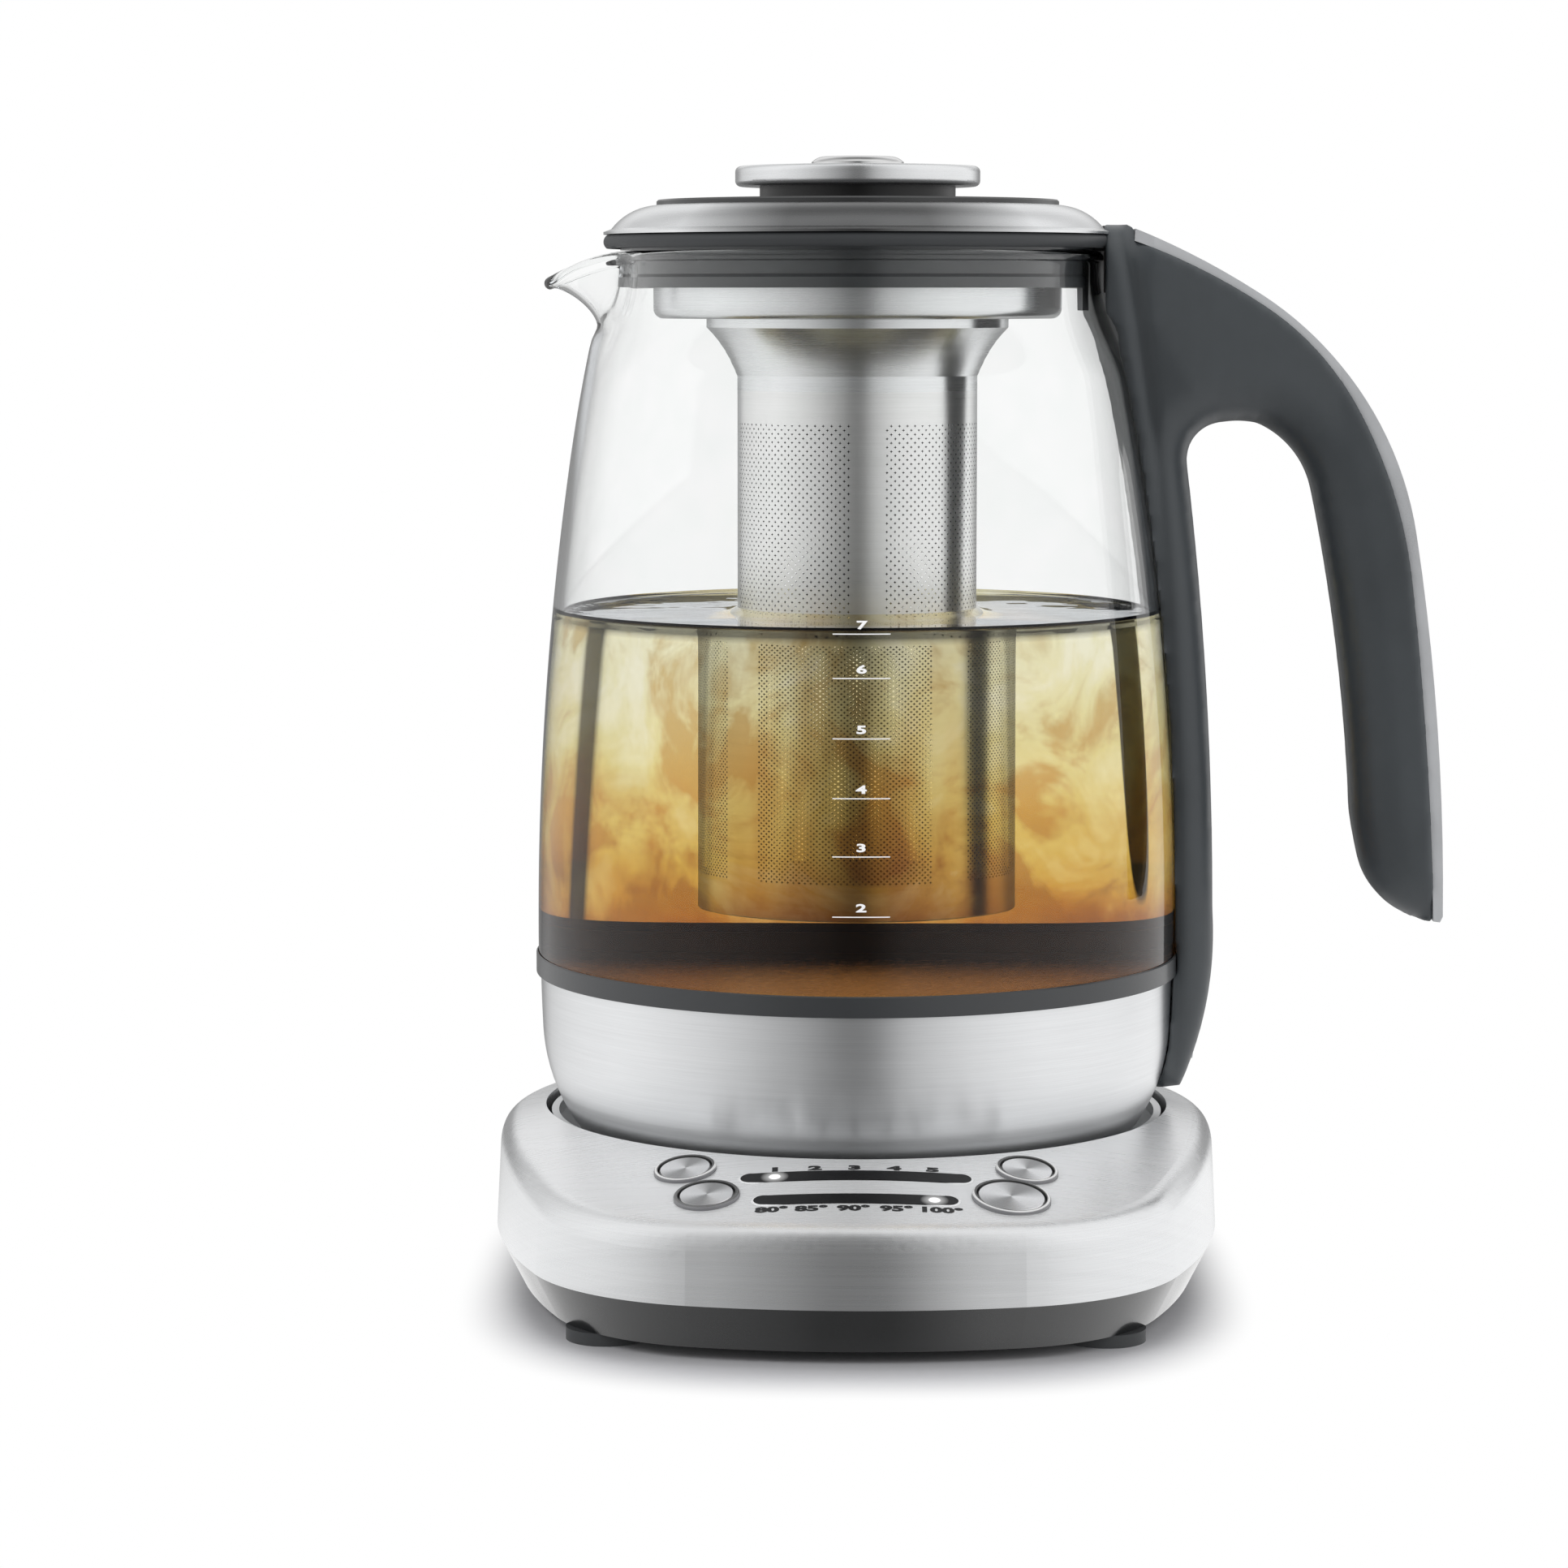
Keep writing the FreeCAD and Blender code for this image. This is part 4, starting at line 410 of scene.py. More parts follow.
@dataclass(frozen=True)
class GuideRing(Finish):
    """A moulded ring round a button, with painted shade along both of its edges."""

    centre: Sequence[float]
    inner: float
    width: float
    brightness: float

    def lay(self, graph: Graph) -> None:
        """Lay the painted shade at the edges and the moulded grain.

        Args:
            graph: The empty graph to lay it on.
        """
        across = graph.from_axis(graph.moved(self.centre)).spread(self.inner,
                                                                  self.inner + self.width)
        # Painted shade: both edges of the ring are dark, as if in the shade of the gaps beside it.
        edge, middle, rim = (0.045,) * 3, (self.brightness,) * 3, (0.20, 0.20, 0.21)
        grain = graph.noise(graph.at(), 2400.0, 2.0, 0.5)
        graph.surface(
            Base_Color=across.ramp([(0.0, edge), (0.22, edge), (0.34, middle), (0.76, middle),
                                    (0.88, rim), (1.0, rim)]),
            Roughness=grain.spread(0.3, 0.7, 0.25, 0.36),
            Coat_Weight=0.3,
            Normal=graph.bump(grain, 0.000004))


@dataclass(frozen=True)
class PolishedMetal(Finish):
    """Bright metal with faint wiping marks."""

    colour: Colour
    roughness: float
    marks: float = 0.08

    def lay(self, graph: Graph) -> None:
        """Lay the clouded tone and the marks.

        Args:
            graph: The empty graph to lay it on.
        """
        wiped = graph.noise(graph.at(), 420.0, 4.0, 0.6, 0.8)
        cloudy = graph.noise(graph.at(), 45.0, 3.0, 0.5)
        graph.surface(
            Base_Color=cloudy.ramp([(0.3, shaded(self.colour, 0.92)), (0.7, self.colour)]),
            Metallic=1.0,
            Roughness=wiped.spread(0.35, 0.7, self.roughness, self.roughness + self.marks),
            Normal=graph.bump(wiped, 0.000003))


@dataclass(frozen=True)
class MouldedPlastic(Finish):
    """Moulded plastic with a fine spark-eroded grain."""

    colour: Colour
    roughness: float
    grain: float = 0.000010
    grain_scale: float = 2600.0
    coat: float = 0.0
    shine: float = 0.5

    def lay(self, graph: Graph) -> None:
        """Lay the flow marks and the grain.

        Args:
            graph: The empty graph to lay it on.
        """
        fine = graph.noise(graph.at(), self.grain_scale, 2.0, 0.5)
        flow = graph.noise(graph.at(), 38.0, 4.0, 0.55, 0.4)
        graph.surface(
            Base_Color=flow.ramp([(0.30, shaded(self.colour, 0.90)),
                                  (0.70, shaded(self.colour, 1.08))]),
            Roughness=(fine * 0.5 + flow * 0.5).spread(0.3, 0.7, self.roughness - 0.05,
                                                       self.roughness + 0.06),
            Specular_IOR_Level=self.shine,
            Coat_Weight=self.coat,
            Coat_Roughness=0.12,
            Normal=graph.bump(fine, self.grain))


@dataclass(frozen=True)
class ClearGlass(Finish):
    """Borosilicate glass, hardly tinted, with the slow waves of a drawn wall."""

    tint: Colour = (0.965, 0.975, 0.97)
    depth: float = 9.0
    wave: float = 0.00002

    def lay(self, graph: Graph) -> None:
        """Lay the waves, the film on the wall and the tint of its depth.

        Args:
            graph: The empty graph to lay it on.
        """
        film = graph.noise(graph.at(), 90.0, 3.0, 0.5)
        graph.surface(
            Base_Color=film.ramp([(0.3, self.tint), (0.7, (0.99, 0.99, 0.99))]),
            Roughness=0.0,
            IOR=1.47,
            Specular_Tint=(0.55, 0.55, 0.55, 1.0),
            Transmission_Weight=1.0,
            Normal=graph.bump(graph.noise(graph.at(), 22.0, 1.0, 0.4), self.wave))
        graph.out("Volume", graph.add("VolumeAbsorption", {"Color": (0.62, 0.68, 0.68, 1.0),
                                                           "Density": self.depth}))


@dataclass(frozen=True)
class BrewingTea(Finish):
    """Tea while it draws: pale gold with clouds, brown threads and a dark foot."""

    foot: float
    level: float
    wall: float
    lean: float = 0.24
    # The gold first stops are painted orange highlights along the very bottom of the drink.
    steps: Stops = (
        (0.00, (0.85, 0.45, 0.05)), (0.016, (0.80, 0.36, 0.04)), (0.040, (0.26, 0.075, 0.03)),
        (0.20, (0.24, 0.075, 0.025)), (0.245, (0.42, 0.14, 0.018)), (0.30, (0.62, 0.29, 0.035)),
        (0.42, (0.71, 0.44, 0.075)), (0.58, (0.76, 0.56, 0.16)), (0.80, (0.81, 0.71, 0.34)),
        (1.00, (0.84, 0.79, 0.52)))
    bottom: Colour = (0.09, 0.024, 0.011)
    cream: Stops = (
        (0.30, (0.86, 0.62, 0.22)), (0.60, (0.92, 0.82, 0.46)), (1.00, (0.97, 0.95, 0.86)))
    brown: Colour = (0.22, 0.055, 0.008)
    amber: Colour = (0.52, 0.20, 0.025)
    gold: Colour = (0.46, 0.30, 0.09)
    # Near-black of the painted shade along the dark edge at the glass.
    ink_and_painted_light: Colour = (0.008, 0.010, 0.012)
    plume_place: float = 0.041
    plume_width: float = 0.010

    def body(self, graph: Graph, height: Signal) -> Signal:
        """The colour of the drink: calm layers, cream clouds and brown threads.

        Args:
            graph: The graph to add to.
            height: How far up the drink a point is, from 0 to 1.

        Returns:
            The colour.
        """
        x, y, z = graph.axes(graph.at())
        drawn = graph.join(x, y, z * 1.1)
        clouds = graph.noise(drawn, 38.0, 9.0, 0.56, 1.2)
        threads = graph.noise(drawn, 18.0, 8.0, 0.55, 1.6)
        swirl = (threads - 0.5) * 0.5
        calm = (height + swirl * height.spread(0.10, 0.4)).ramp(self.steps)
        beside = (abs(x) - self.plume_place) / self.plume_width
        plume = (graph.math("EXPONENT", beside * beside * -1.0)
                 * height.spread(0.95, 0.35, 0.035, 0.10))
        strength = clouds * 0.6 + threads * 0.4 - plume
        facing, above = y.spread(-0.03, 0.02, 1.0, 0.3), height.spread(0.20, 0.32)
        pale = strength.spread(0.50, 0.585, 0.0, 0.92) * facing * above
        deep = strength.spread(0.485, 0.40, 0.0, 0.95) * facing * above
        stain = height.ramp([(0.25, self.brown), (0.55, self.amber), (1.0, self.gold)])
        clouded = graph.mix(deep, graph.mix(pale, calm, height.ramp(self.cream)), stain)
        return graph.mix(z.spread(self.foot - 0.002, self.foot - 0.001, 1.0, 0.0), clouded,
                         self.bottom)

    def lay(self, graph: Graph) -> None:
        """Lay the drink's colour, a painted shade for its dark edge at the glass, and its still
        surface.

        Args:
            graph: The empty graph to lay it on.
        """
        _, y, z = graph.axes(graph.at())
        height = (z.spread(self.foot, self.level)
                  + y.spread(-self.wall, self.wall, 0.0, self.lean))
        # Painted shade: a dark rim where the surface meets the glass, strongest at the front.
        edge = (z.spread(self.level - 0.0027, self.level - 0.0010)
                * graph.from_axis(graph.at()).spread(self.wall - 0.0016, self.wall - 0.0008)
                * y.spread(-0.045, 0.0, 0.92, 0.25))
        waves = (graph.noise(graph.at(), 55.0, 2.0, 0.4)
                 * z.spread(self.level - 0.001, self.level, 0.03, 1.0))
        up = graph.axes(graph.geometry("True Normal"))[2]
        graph.surface(
            Base_Color=graph.mix(edge, self.body(graph, height), self.ink_and_painted_light),
            Roughness=0.0,
            IOR=1.333,
            Specular_Tint=up.ramp([(0.55, (0.35,) * 3), (0.85, (1.0,) * 3)]),
            Transmission_Weight=1.0,
            Normal=graph.bump(waves, 0.0004))


@dataclass(frozen=True)
class PrintedInkAndPaintedLight(Finish):
    """Screen-printed ink, a little uneven where the mesh laid it. It can carry a painted glow, and
    it also paints the white highlight of the window lips.
    """

    colour: Colour
    # Emission strength of a painted glow; the print is no lamp.
    painted_glow: float = 0.0

    def lay(self, graph: Graph) -> None:
        """Lay the ink with the marks of the mesh, and its painted glow.

        Args:
            graph: The empty graph to lay it on.
        """
        mesh = graph.noise(graph.at(), 3200.0, 2.0, 0.5)
        graph.surface(
            Base_Color=mesh.ramp([(0.3, shaded(self.colour, 0.85)), (0.6, self.colour)]),
            Roughness=mesh.spread(0.3, 0.7, 0.38, 0.55),
            Emission_Color=(*self.colour, 1.0),
            Emission_Strength=self.painted_glow,
            Normal=graph.bump(mesh, 0.000004))


@dataclass(frozen=True)
class DisplayWindow(Finish):
    """Smoked glossy window with one lamp lit behind it."""

    lamp: Sequence[float]
    half_width: float = 0.0021
    smoke: Colour = (0.006, 0.006, 0.007)
    shine: float = 1.6

    def lay(self, graph: Graph) -> None:
        """Lay the smoke and the lamp's core and haze.

        Args:
            graph: The empty graph to lay it on.
        """
        x, y, _ = graph.axes(graph.moved(self.lamp))
        away = graph.from_axis(graph.join(x * 0.85, y * 0.9, 0.0))
        core = away.spread(self.half_width * 0.25, self.half_width * 0.62, 1.0, 0.0)
        haze = away.spread(self.half_width * 0.3, self.half_width * 1.35, 0.35, 0.0)
        dust = graph.noise(graph.at(), 900.0, 3.0, 0.5)
        graph.surface(
            Base_Color=dust.ramp([(0.3, self.smoke), (0.8, (0.012, 0.012, 0.013))]),
            Roughness=dust.spread(0.4, 0.8, 0.04, 0.09),
            Specular_IOR_Level=0.12,
            Emission_Color=(1.0, 1.0, 1.0, 1.0),
            Emission_Strength=(core + haze) * self.shine)


@dataclass(frozen=True)
class CircuitBoard(Finish):
    """Green solder mask over thin copper tracks."""

    mask: Colour = (0.010, 0.085, 0.035)

    def lay(self, graph: Graph) -> None:
        """Lay the mask and the raised tracks.

        Args:
            graph: The empty graph to lay it on.
        """
        board = {"Vector": graph.at(), "Color1": (*self.mask, 1.0),
                 "Color2": (0.015, 0.11, 0.045, 1.0), "Mortar": (0.06, 0.17, 0.06, 1.0),
                 "Scale": 180.0, "Mortar Size": 0.06}
        graph.surface(Base_Color=graph.add("TexBrick", board, "Color"),
                      Roughness=graph.noise(graph.at(), 500.0).spread(0.3, 0.7, 0.28, 0.42),
                      Normal=graph.bump(graph.add("TexBrick", board, "Fac"), 0.00003))


# ---------------------------------------------------------------- mesh helpers

def arc(first: Point, middle: Point, last: Point, steps: int) -> list[Point]:
    """Points on the circle through three points of a profile.

    Args:
        first: Start, as radius and height.
        middle: A point on the way.
        last: End.
        steps: How many chords the arc has.

    Returns:
        The points from the start up to, but without, the end.
    """
    (ax, ay), (bx, by), (cx, cy) = first, middle, last
    d = 2 * (ax * (by - cy) + bx * (cy - ay) + cx * (ay - by))
    a2, b2, c2 = ax * ax + ay * ay, bx * bx + by * by, cx * cx + cy * cy
    ux = (a2 * (by - cy) + b2 * (cy - ay) + c2 * (ay - by)) / d
    uy = (a2 * (cx - bx) + b2 * (ax - cx) + c2 * (bx - ax)) / d
    radius = math.hypot(ax - ux, ay - uy)
    start, via, end = (math.atan2(p[1] - uy, p[0] - ux) for p in (first, middle, last))
    turn = (end - start) % math.tau
    if (via - start) % math.tau > turn:
        turn -= math.tau
    return [(ux + radius * math.cos(start + turn * i / steps),
             uy + radius * math.sin(start + turn * i / steps)) for i in range(steps)]


def settle(bm: bmesh.types.BMesh, name: str, material: bpy.types.Material,
           smooth_below: float = 40.0) -> bpy.types.Object:
    """Turn a bmesh into a finished piece at the origin.

    Args:
        bm: The mesh, which is freed.
        name: Name of the piece.
        material: Its finish.
        smooth_below: Edges sharper than this angle in degrees stay sharp.

    Returns:
        The new object, linked to the scene.
    """
    mesh = bpy.data.meshes.new(name)
    for face in bm.faces:
        face.smooth = True
    limit = math.radians(smooth_below)
    for edge in bm.edges:
        if len(edge.link_faces) == 2:
            edge.smooth = edge.calc_face_angle(0.0) < limit
    bm.to_mesh(mesh)
    bm.free()
    mesh.materials.append(material)
    piece = bpy.data.objects.new(name, mesh)
    bpy.context.scene.collection.objects.link(piece)
    return piece


def turned(profile: Sequence[Point], segments: int, closed: bool) -> bmesh.types.BMesh:
    """Spin a profile round the upright axis.

    Args:
        profile: Radius and height of each point, in metres.
        segments: Steps of the full turn.
        closed: Whether the last point joins the first.

    Returns:
        The turned mesh, with doubles merged and faces outward.
    """
    bm = bmesh.new()
    verts = [bm.verts.new((r, 0.0, z)) for r, z in profile]
    edges = [bm.edges.new(pair) for pair in zip(verts, verts[1:])]
    if closed:
        edges.append(bm.edges.new((verts[-1], verts[0])))
    bmesh.ops.spin(bm, geom=verts + edges, cent=(0, 0, 0), axis=(0, 0, 1),
                   angle=math.tau, steps=segments, use_merge=True)
    bmesh.ops.remove_doubles(bm, verts=bm.verts, dist=2e-6)
    bmesh.ops.recalc_face_normals(bm, faces=bm.faces)
    return bm


def dress(finish: Finish, *nodes: str) -> None:
    """Give carried-over construction nodes a finish.

    Args:
        finish: The finish.
        *nodes: Names of the nodes.
    """
    material = finish.material()
    for name in nodes:
        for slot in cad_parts[name].material_slots:
            slot.material = material
        LOG.info("%s dressed as %s", name, finish.name)


def carry(piece: bpy.types.Object, body: str,
          replaced: Sequence[str] = ()) -> bpy.types.Object:
    """Let a piece ride on its body and log it.

    Args:
        piece: The finished object.
        body: The body that carries it.
        replaced: Construction nodes that the piece stands for.

    Returns:
        The same object.
    """
    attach(piece, body)
    if replaced:
        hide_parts(*replaced)
    LOG.info("%s: %d faces, rides on %s", piece.name, len(piece.data.polygons), body)
    return piece


def lettering(text: str, height: float, widen: float,
              weight: float) -> bpy.types.Mesh:
    """A line of figures as a flat mesh centred on its origin.

    Args:
        text: What it says.
        height: Height of a figure in metres.
        widen: Width factor.
        weight: How far each stroke is thickened.

    Returns:
        The mesh, facing +Z.
    """
    curve = bpy.data.curves.new("figures", "FONT")
    curve.body = text
    curve.size = height / FIGURE_SHARE
    curve.align_x, curve.align_y = "CENTER", "CENTER"
    curve.offset = weight
    curve.resolution_u = 3
    holder = bpy.data.objects.new("figures", curve)
    mesh = bpy.data.meshes.new_from_object(holder)
    bpy.data.objects.remove(holder)
    bpy.data.curves.remove(curve)
    mesh.transform(Matrix.Diagonal((widen, 1.0, 1.0, 1.0)))
    return mesh


def surface_of(node: str) -> BVHTree:
    """A search tree of a construction node's surface.

    Args:
        node: Name of the construction node.

    Returns:
        The tree.
    """
    bm = bmesh.new()
    bm.from_mesh(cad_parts[node].data)
    found = BVHTree.FromBMesh(bm)
    bm.free()
    return found


def rounded_copy(node: str, voxel: float, passes: int) -> bpy.types.Mesh:
    """A node's shape with its sharp edges moulded round.

    Args:
        node: The construction node.
        voxel: Size of the cells in metres.
        passes: Smoothing passes.

    Returns:
        A new mesh.
    """
    bm = bmesh.new()
    bm.from_mesh(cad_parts[node].data)
    bmesh.ops.remove_doubles(bm, verts=bm.verts, dist=5e-6)
    source = bpy.data.meshes.new(node + "_source")
    bm.to_mesh(source)
    bm.free()
    holder = bpy.data.objects.new(node + "_source", source)
    bpy.context.scene.collection.objects.link(holder)
    remesh = holder.modifiers.new("cells", "REMESH")
    remesh.mode = "VOXEL"
    remesh.voxel_size = voxel
    relax = holder.modifiers.new("relax", "SMOOTH")
    relax.factor = 0.5
    relax.iterations = passes
    bpy.context.view_layer.update()
    graph = bpy.context.evaluated_depsgraph_get()
    mesh = bpy.data.meshes.new_from_object(holder.evaluated_get(graph))
    bpy.data.objects.remove(holder)
    bpy.data.meshes.remove(source)
    return mesh


# ---------------------------------------------------------------- sub-assemblies

@dataclass
class ControlBase:
    """The base: plastic tray, brushed steel cover, deck controls and what they hold."""

    recess_radius: float = 77.5 * MM
    rim_height: float = 41.0 * MM
    slope: float = math.radians(14.0)
    window_y: tuple[float, float] = (-86.0 * MM, -98.0 * MM)
    window_length: tuple[float, float] = (53.5 * MM, 47.0 * MM)
    window_width: float = 4.8 * MM
    lamps: tuple[float, float] = (-18.8 * MM, 18.0 * MM)
    minute_x: tuple[float, ...] = (-18.8, -9.5, -0.3, 8.9, 17.8)
    degree_x: tuple[float, ...] = (-19.2, -10.1, -0.5, 9.3, 19.4)
    minute_y: float = -82.0 * MM
    degree_y: float = -102.9 * MM
    minutes: tuple[str, ...] = ("1", "2", "3", "4", "5")
    degrees: tuple[str, ...] = ("80°", "85°", "90°", "95°", "100°")
    buttons: tuple[str, ...] = ("start_cancel", "start_timer", "temperature", "timer")
    print_lift: float = 0.05 * MM
    stroke: float = 0.20 * MM
    lip_width: float = 0.55 * MM
    lip_lift: Point = (0.04 * MM, 0.22 * MM)
    ring_gap: float = 0.25 * MM
    ring_width: float = 0.95 * MM

    def deck(self, x: float, y: float) -> float:
        """Height of the sloping deck above a point."""
        return self.rim_height - math.tan(self.slope) * (math.hypot(x, y) - self.recess_radius)

    def dress_nodes(self) -> None:
        """Give every construction node of the base its finish."""
        dress(BrushedSteel("brushed_steel_base", grain=Grain.ALONG, satin=0.55), "base_shroud")
        dress(MouldedPlastic("grey_plastic_tray", (0.009, 0.010, 0.011), 0.30, coat=1.0,
                             shine=1.0), "base_tray")
        dress(BrushedSteel("cradle_steel", roughness=0.42), "base_cradle")
        dress(MouldedPlastic("black_plastic_inside", (0.012, 0.012, 0.013), 0.45),
              "power_connector")
        dress(MouldedPlastic("soft_rubber", (0.046, 0.049, 0.052), 0.60, 0.00002, 1500.0),
              "base_feet", "cord_inlet")
        dress(PolishedMetal("zinc_screws", (0.55, 0.56, 0.57), 0.30), "base_screws")
        dress(PolishedMetal("contact_brass", BRASS, 0.25), "connector_contacts",
              "tact_switches")
        dress(CircuitBoard("green_board"), "power_board", "control_board")
        dress(MouldedPlastic("relay_case", (0.05, 0.10, 0.22), 0.35), "power_relay")
        dress(MouldedPlastic("clear_acrylic", (0.70, 0.72, 0.72), 0.15), "led_light_guides")
        for node, lamp, y in zip(("led_window_upper", "led_window_lower"), self.lamps,
                                 self.window_y):
            dress(DisplayWindow(node + "_smoke", (lamp, y, 0.0)), node)
        for name in self.buttons:
            low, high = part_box(name + "_button")
            centre = (low + high) / 2
            dress(SpunSteel(name + "_spun", centre), name + "_button")
            dress(GuideRing(name + "_guide", centre, (high.x - low.x) / 2 + self.ring_gap,
                            self.ring_width, 0.10 if name == "temperature" else 0.80),
                  name + "_ring")

    def print_figures(self) -> None:
        """Print the minutes above the upper window and the degrees below the lower one."""
        ink_and_painted_light = PrintedInkAndPaintedLight("deck_print", (0.008, 0.008, 0.009)).material()
        rows = (("minute_print", self.minutes, self.minute_x, self.minute_y, 2.0 * MM, 2.00),
                ("degree_print", self.degrees, self.degree_x, self.degree_y, 2.5 * MM, 1.50))
        for name, texts, places, y, height, widen in rows:
            bm = bmesh.new()
            for text, x in zip(texts, places):
                mesh = lettering(text, height, widen, self.stroke)
                mesh.transform(Matrix.Translation((x * MM, y, 0.0)))
                bm.from_mesh(mesh)
                bpy.data.meshes.remove(mesh)
            bmesh.ops.remove_doubles(bm, verts=bm.verts, dist=1e-6)
            for vert in bm.verts:
                vert.co.z = self.deck(vert.co.x, vert.co.y) + self.print_lift
            carry(settle(bm, name, ink_and_painted_light), "base")

    def frame_windows(self) -> None:
        """Lay a bevelled lip round each display window, white as a painted highlight of its edge.
        """
        # The lips' white is a painted highlight of the window edges.
        painted_highlight = PrintedInkAndPaintedLight("window_lip", (0.86, 0.87, 0.88)).material()
        for name, y, length in zip(("upper_window_lip", "lower_window_lip"), self.window_y,
                                   self.window_length):
            bm = bmesh.new()
            radius = self.window_width / 2
            bmesh.ops.create_circle(bm, cap_ends=True, segments=48, radius=radius)
            for vert in bm.verts:
                vert.co.x += math.copysign(length / 2 - radius, vert.co.x)
            hole = list(bm.faces)
            made = bmesh.ops.extrude_face_region(bm, geom=hole)
            outer = [v for v in made["geom"] if isinstance(v, bmesh.types.BMVert)]
            bmesh.ops.delete(bm, geom=[f for f in made["geom"]
                                       if isinstance(f, bmesh.types.BMFace)],
                             context="FACES_ONLY")
            bmesh.ops.delete(bm, geom=[f for f in bm.faces if len(f.verts) > 4],
                             context="FACES_ONLY")
            middle = length / 2 - radius
            for vert in outer:
                out = Vector((vert.co.x - math.copysign(middle, vert.co.x), vert.co.y, 0.0))
                vert.co += out.normalized() * self.lip_width
            rim = set(outer)
            for vert in bm.verts:
                lift = self.lip_lift[0] if vert in rim else self.lip_lift[1]
                vert.co.y += y
                vert.co.z = self.deck(vert.co.x, vert.co.y) + lift
            bmesh.ops.recalc_face_normals(bm, faces=bm.faces)
            if sum(face.normal.z for face in bm.faces) < 0:
                bmesh.ops.reverse_faces(bm, faces=bm.faces)
            carry(settle(bm, name, painted_highlight, 60.0), "base")

    def build(self) -> None:
        """Dress the base and add its print and window lips."""
        self.dress_nodes()
        self.print_figures()
        self.frame_windows()


@dataclass
class Jug:
    """The jug: steel shell, glass body with a drawn spout, its scale and the tea in it."""

    foot: Point = (79.1 * MM, 76.2 * MM)
    waist: Point = (77.3 * MM, 139.0 * MM)
    chest: Point = (71.3 * MM, 196.8 * MM)
    upper: Point = (68.4 * MM, 215.3 * MM)
    shoulder: Point = (64.9 * MM, 233.0 * MM)
    throat: Point = (60.5 * MM, 237.8 * MM)
    neck: Point = (59.5 * MM, 241.5 * MM)
    rim: float = 252.0 * MM
    wall: float = 2.5 * MM
    bead: float = 0.8 * MM
    spout_root: float = 233.5 * MM
    spout_tip: Point = (77.4 * MM, 243.3 * MM)
    spout_half_width: float = 21.0 * MM
    tip_radius: float = 5.0 * MM
    eased: Point = (221.0 * MM, 247.0 * MM)
    slope_span: float = 5.0 * MM
    crease: float = 229.0 * MM
    thinning: float = 0.3
    spout_path: tuple[Point, ...] = ((0.5 * MM, 4.0 * MM), (7.0 * MM, 9.3 * MM))
    spout_area: tuple[float, float, float] = (-45.0 * MM, 2.0 * MM, 4.0 * MM)
    floor: float = 71.0 * MM
    tea_level: float = 163.4 * MM
    tea_bite: float = 0.9 * MM
    basket_radius: float = 29.5 * MM
    marks: tuple[tuple[str, float], ...] = (("7", 163.6), ("6", 153.4), ("5", 139.5),
                                            ("4", 125.7), ("3", 112.2), ("2", 98.2))
    mark_x: float = 1.1 * MM
    mark_half: float = 6.7 * MM
    mark_stroke: float = 0.12 * MM
    figure_height: float = 1.8 * MM
    figure_lift: float = 2.0 * MM
    arc_steps: tuple[int, int, int] = (34, 16, 9)
    around: int = 240
    spout_rows: int = 18
    bead_degrees: range = range(-20, 201, 20)
    tea_around: int = 160
    tea_rings: int = 24
    inside_basket: float = 1.5 * MM
    climb_places: tuple[float, ...] = (0.0, 0.5, 1.0, 1.6, 2.4)
    climb_at_glass: Point = (1.5 * MM, 1.6 * MM)
    climb_at_basket: Point = (1.7 * MM, 1.8 * MM)

    def side(self) -> list[Point]:
        """Outer profile of the glass from its foot up to its neck.

        Returns:
            Radius and height of each point, lowest first.
        """
        stops = (self.foot, self.waist, self.chest, self.upper, self.shoulder, self.throat,
                 self.neck)
        points = [point for first, steps in enumerate(self.arc_steps)
                  for point in arc(*stops[2 * first:2 * first + 3], steps)] + [self.neck]
        soft = [i for i, p in enumerate(points) if self.crease < p[1] < self.neck[1] - 0.1 * MM]
        for _ in range(3):
            for i in soft:
                before, after = points[i - 1], points[i + 1]
                points[i] = ((before[0] + 2 * points[i][0] + after[0]) / 4,
                             (before[1] + 2 * points[i][1] + after[1]) / 4)
        return points

    def radius_at(self, height: float) -> float:
        """Outer radius of the glass at a height.

        Args:
            height: The height.

        Returns:
            The radius. Below the foot and above the neck it stays as it is there.
        """
        side = self.side()
        for (r0, z0), (r1, z1) in zip(side, side[1:]):
            if z0 <= height <= z1:
                return r0 + (r1 - r0) * (height - z0) / (z1 - z0)
        return side[0][0] if height < side[0][1] else side[-1][0]

    def spout_share(self, angle: float) -> float:
        """How far a direction belongs to the spout: 1 at its middle, 0 beside it.

        Args:
            angle: The direction round the axis.

        Returns:
            The share.
        """
        side = abs(math.remainder(angle - math.pi, math.tau)) * self.neck[0]
        side /= self.spout_half_width
        return 0.5 + 0.5 * math.cos(math.pi * side) if side < 1.0 else 0.0

    def outer_radius(self, angle: float, height: float) -> float:
        """Outer radius in one direction, with the shoulder eased away from the spout.

        Args:
            angle: The direction round the axis.
            height: The height.

        Returns:
            The radius.
        """
        low, high = self.eased
        crisp = self.radius_at(height)
        if not low < height < high:
            return crisp
        slope = (self.radius_at(low) - self.radius_at(low - self.slope_span)) / self.slope_span
        wall = self.radius_at(low) + slope * (height - low)
        part = (height - low) / (high - low)
        soft = wall + (self.neck[0] - wall) * part * part * (3.0 - 2.0 * part)
        return soft + (crisp - soft) * math.sqrt(self.spout_share(angle))

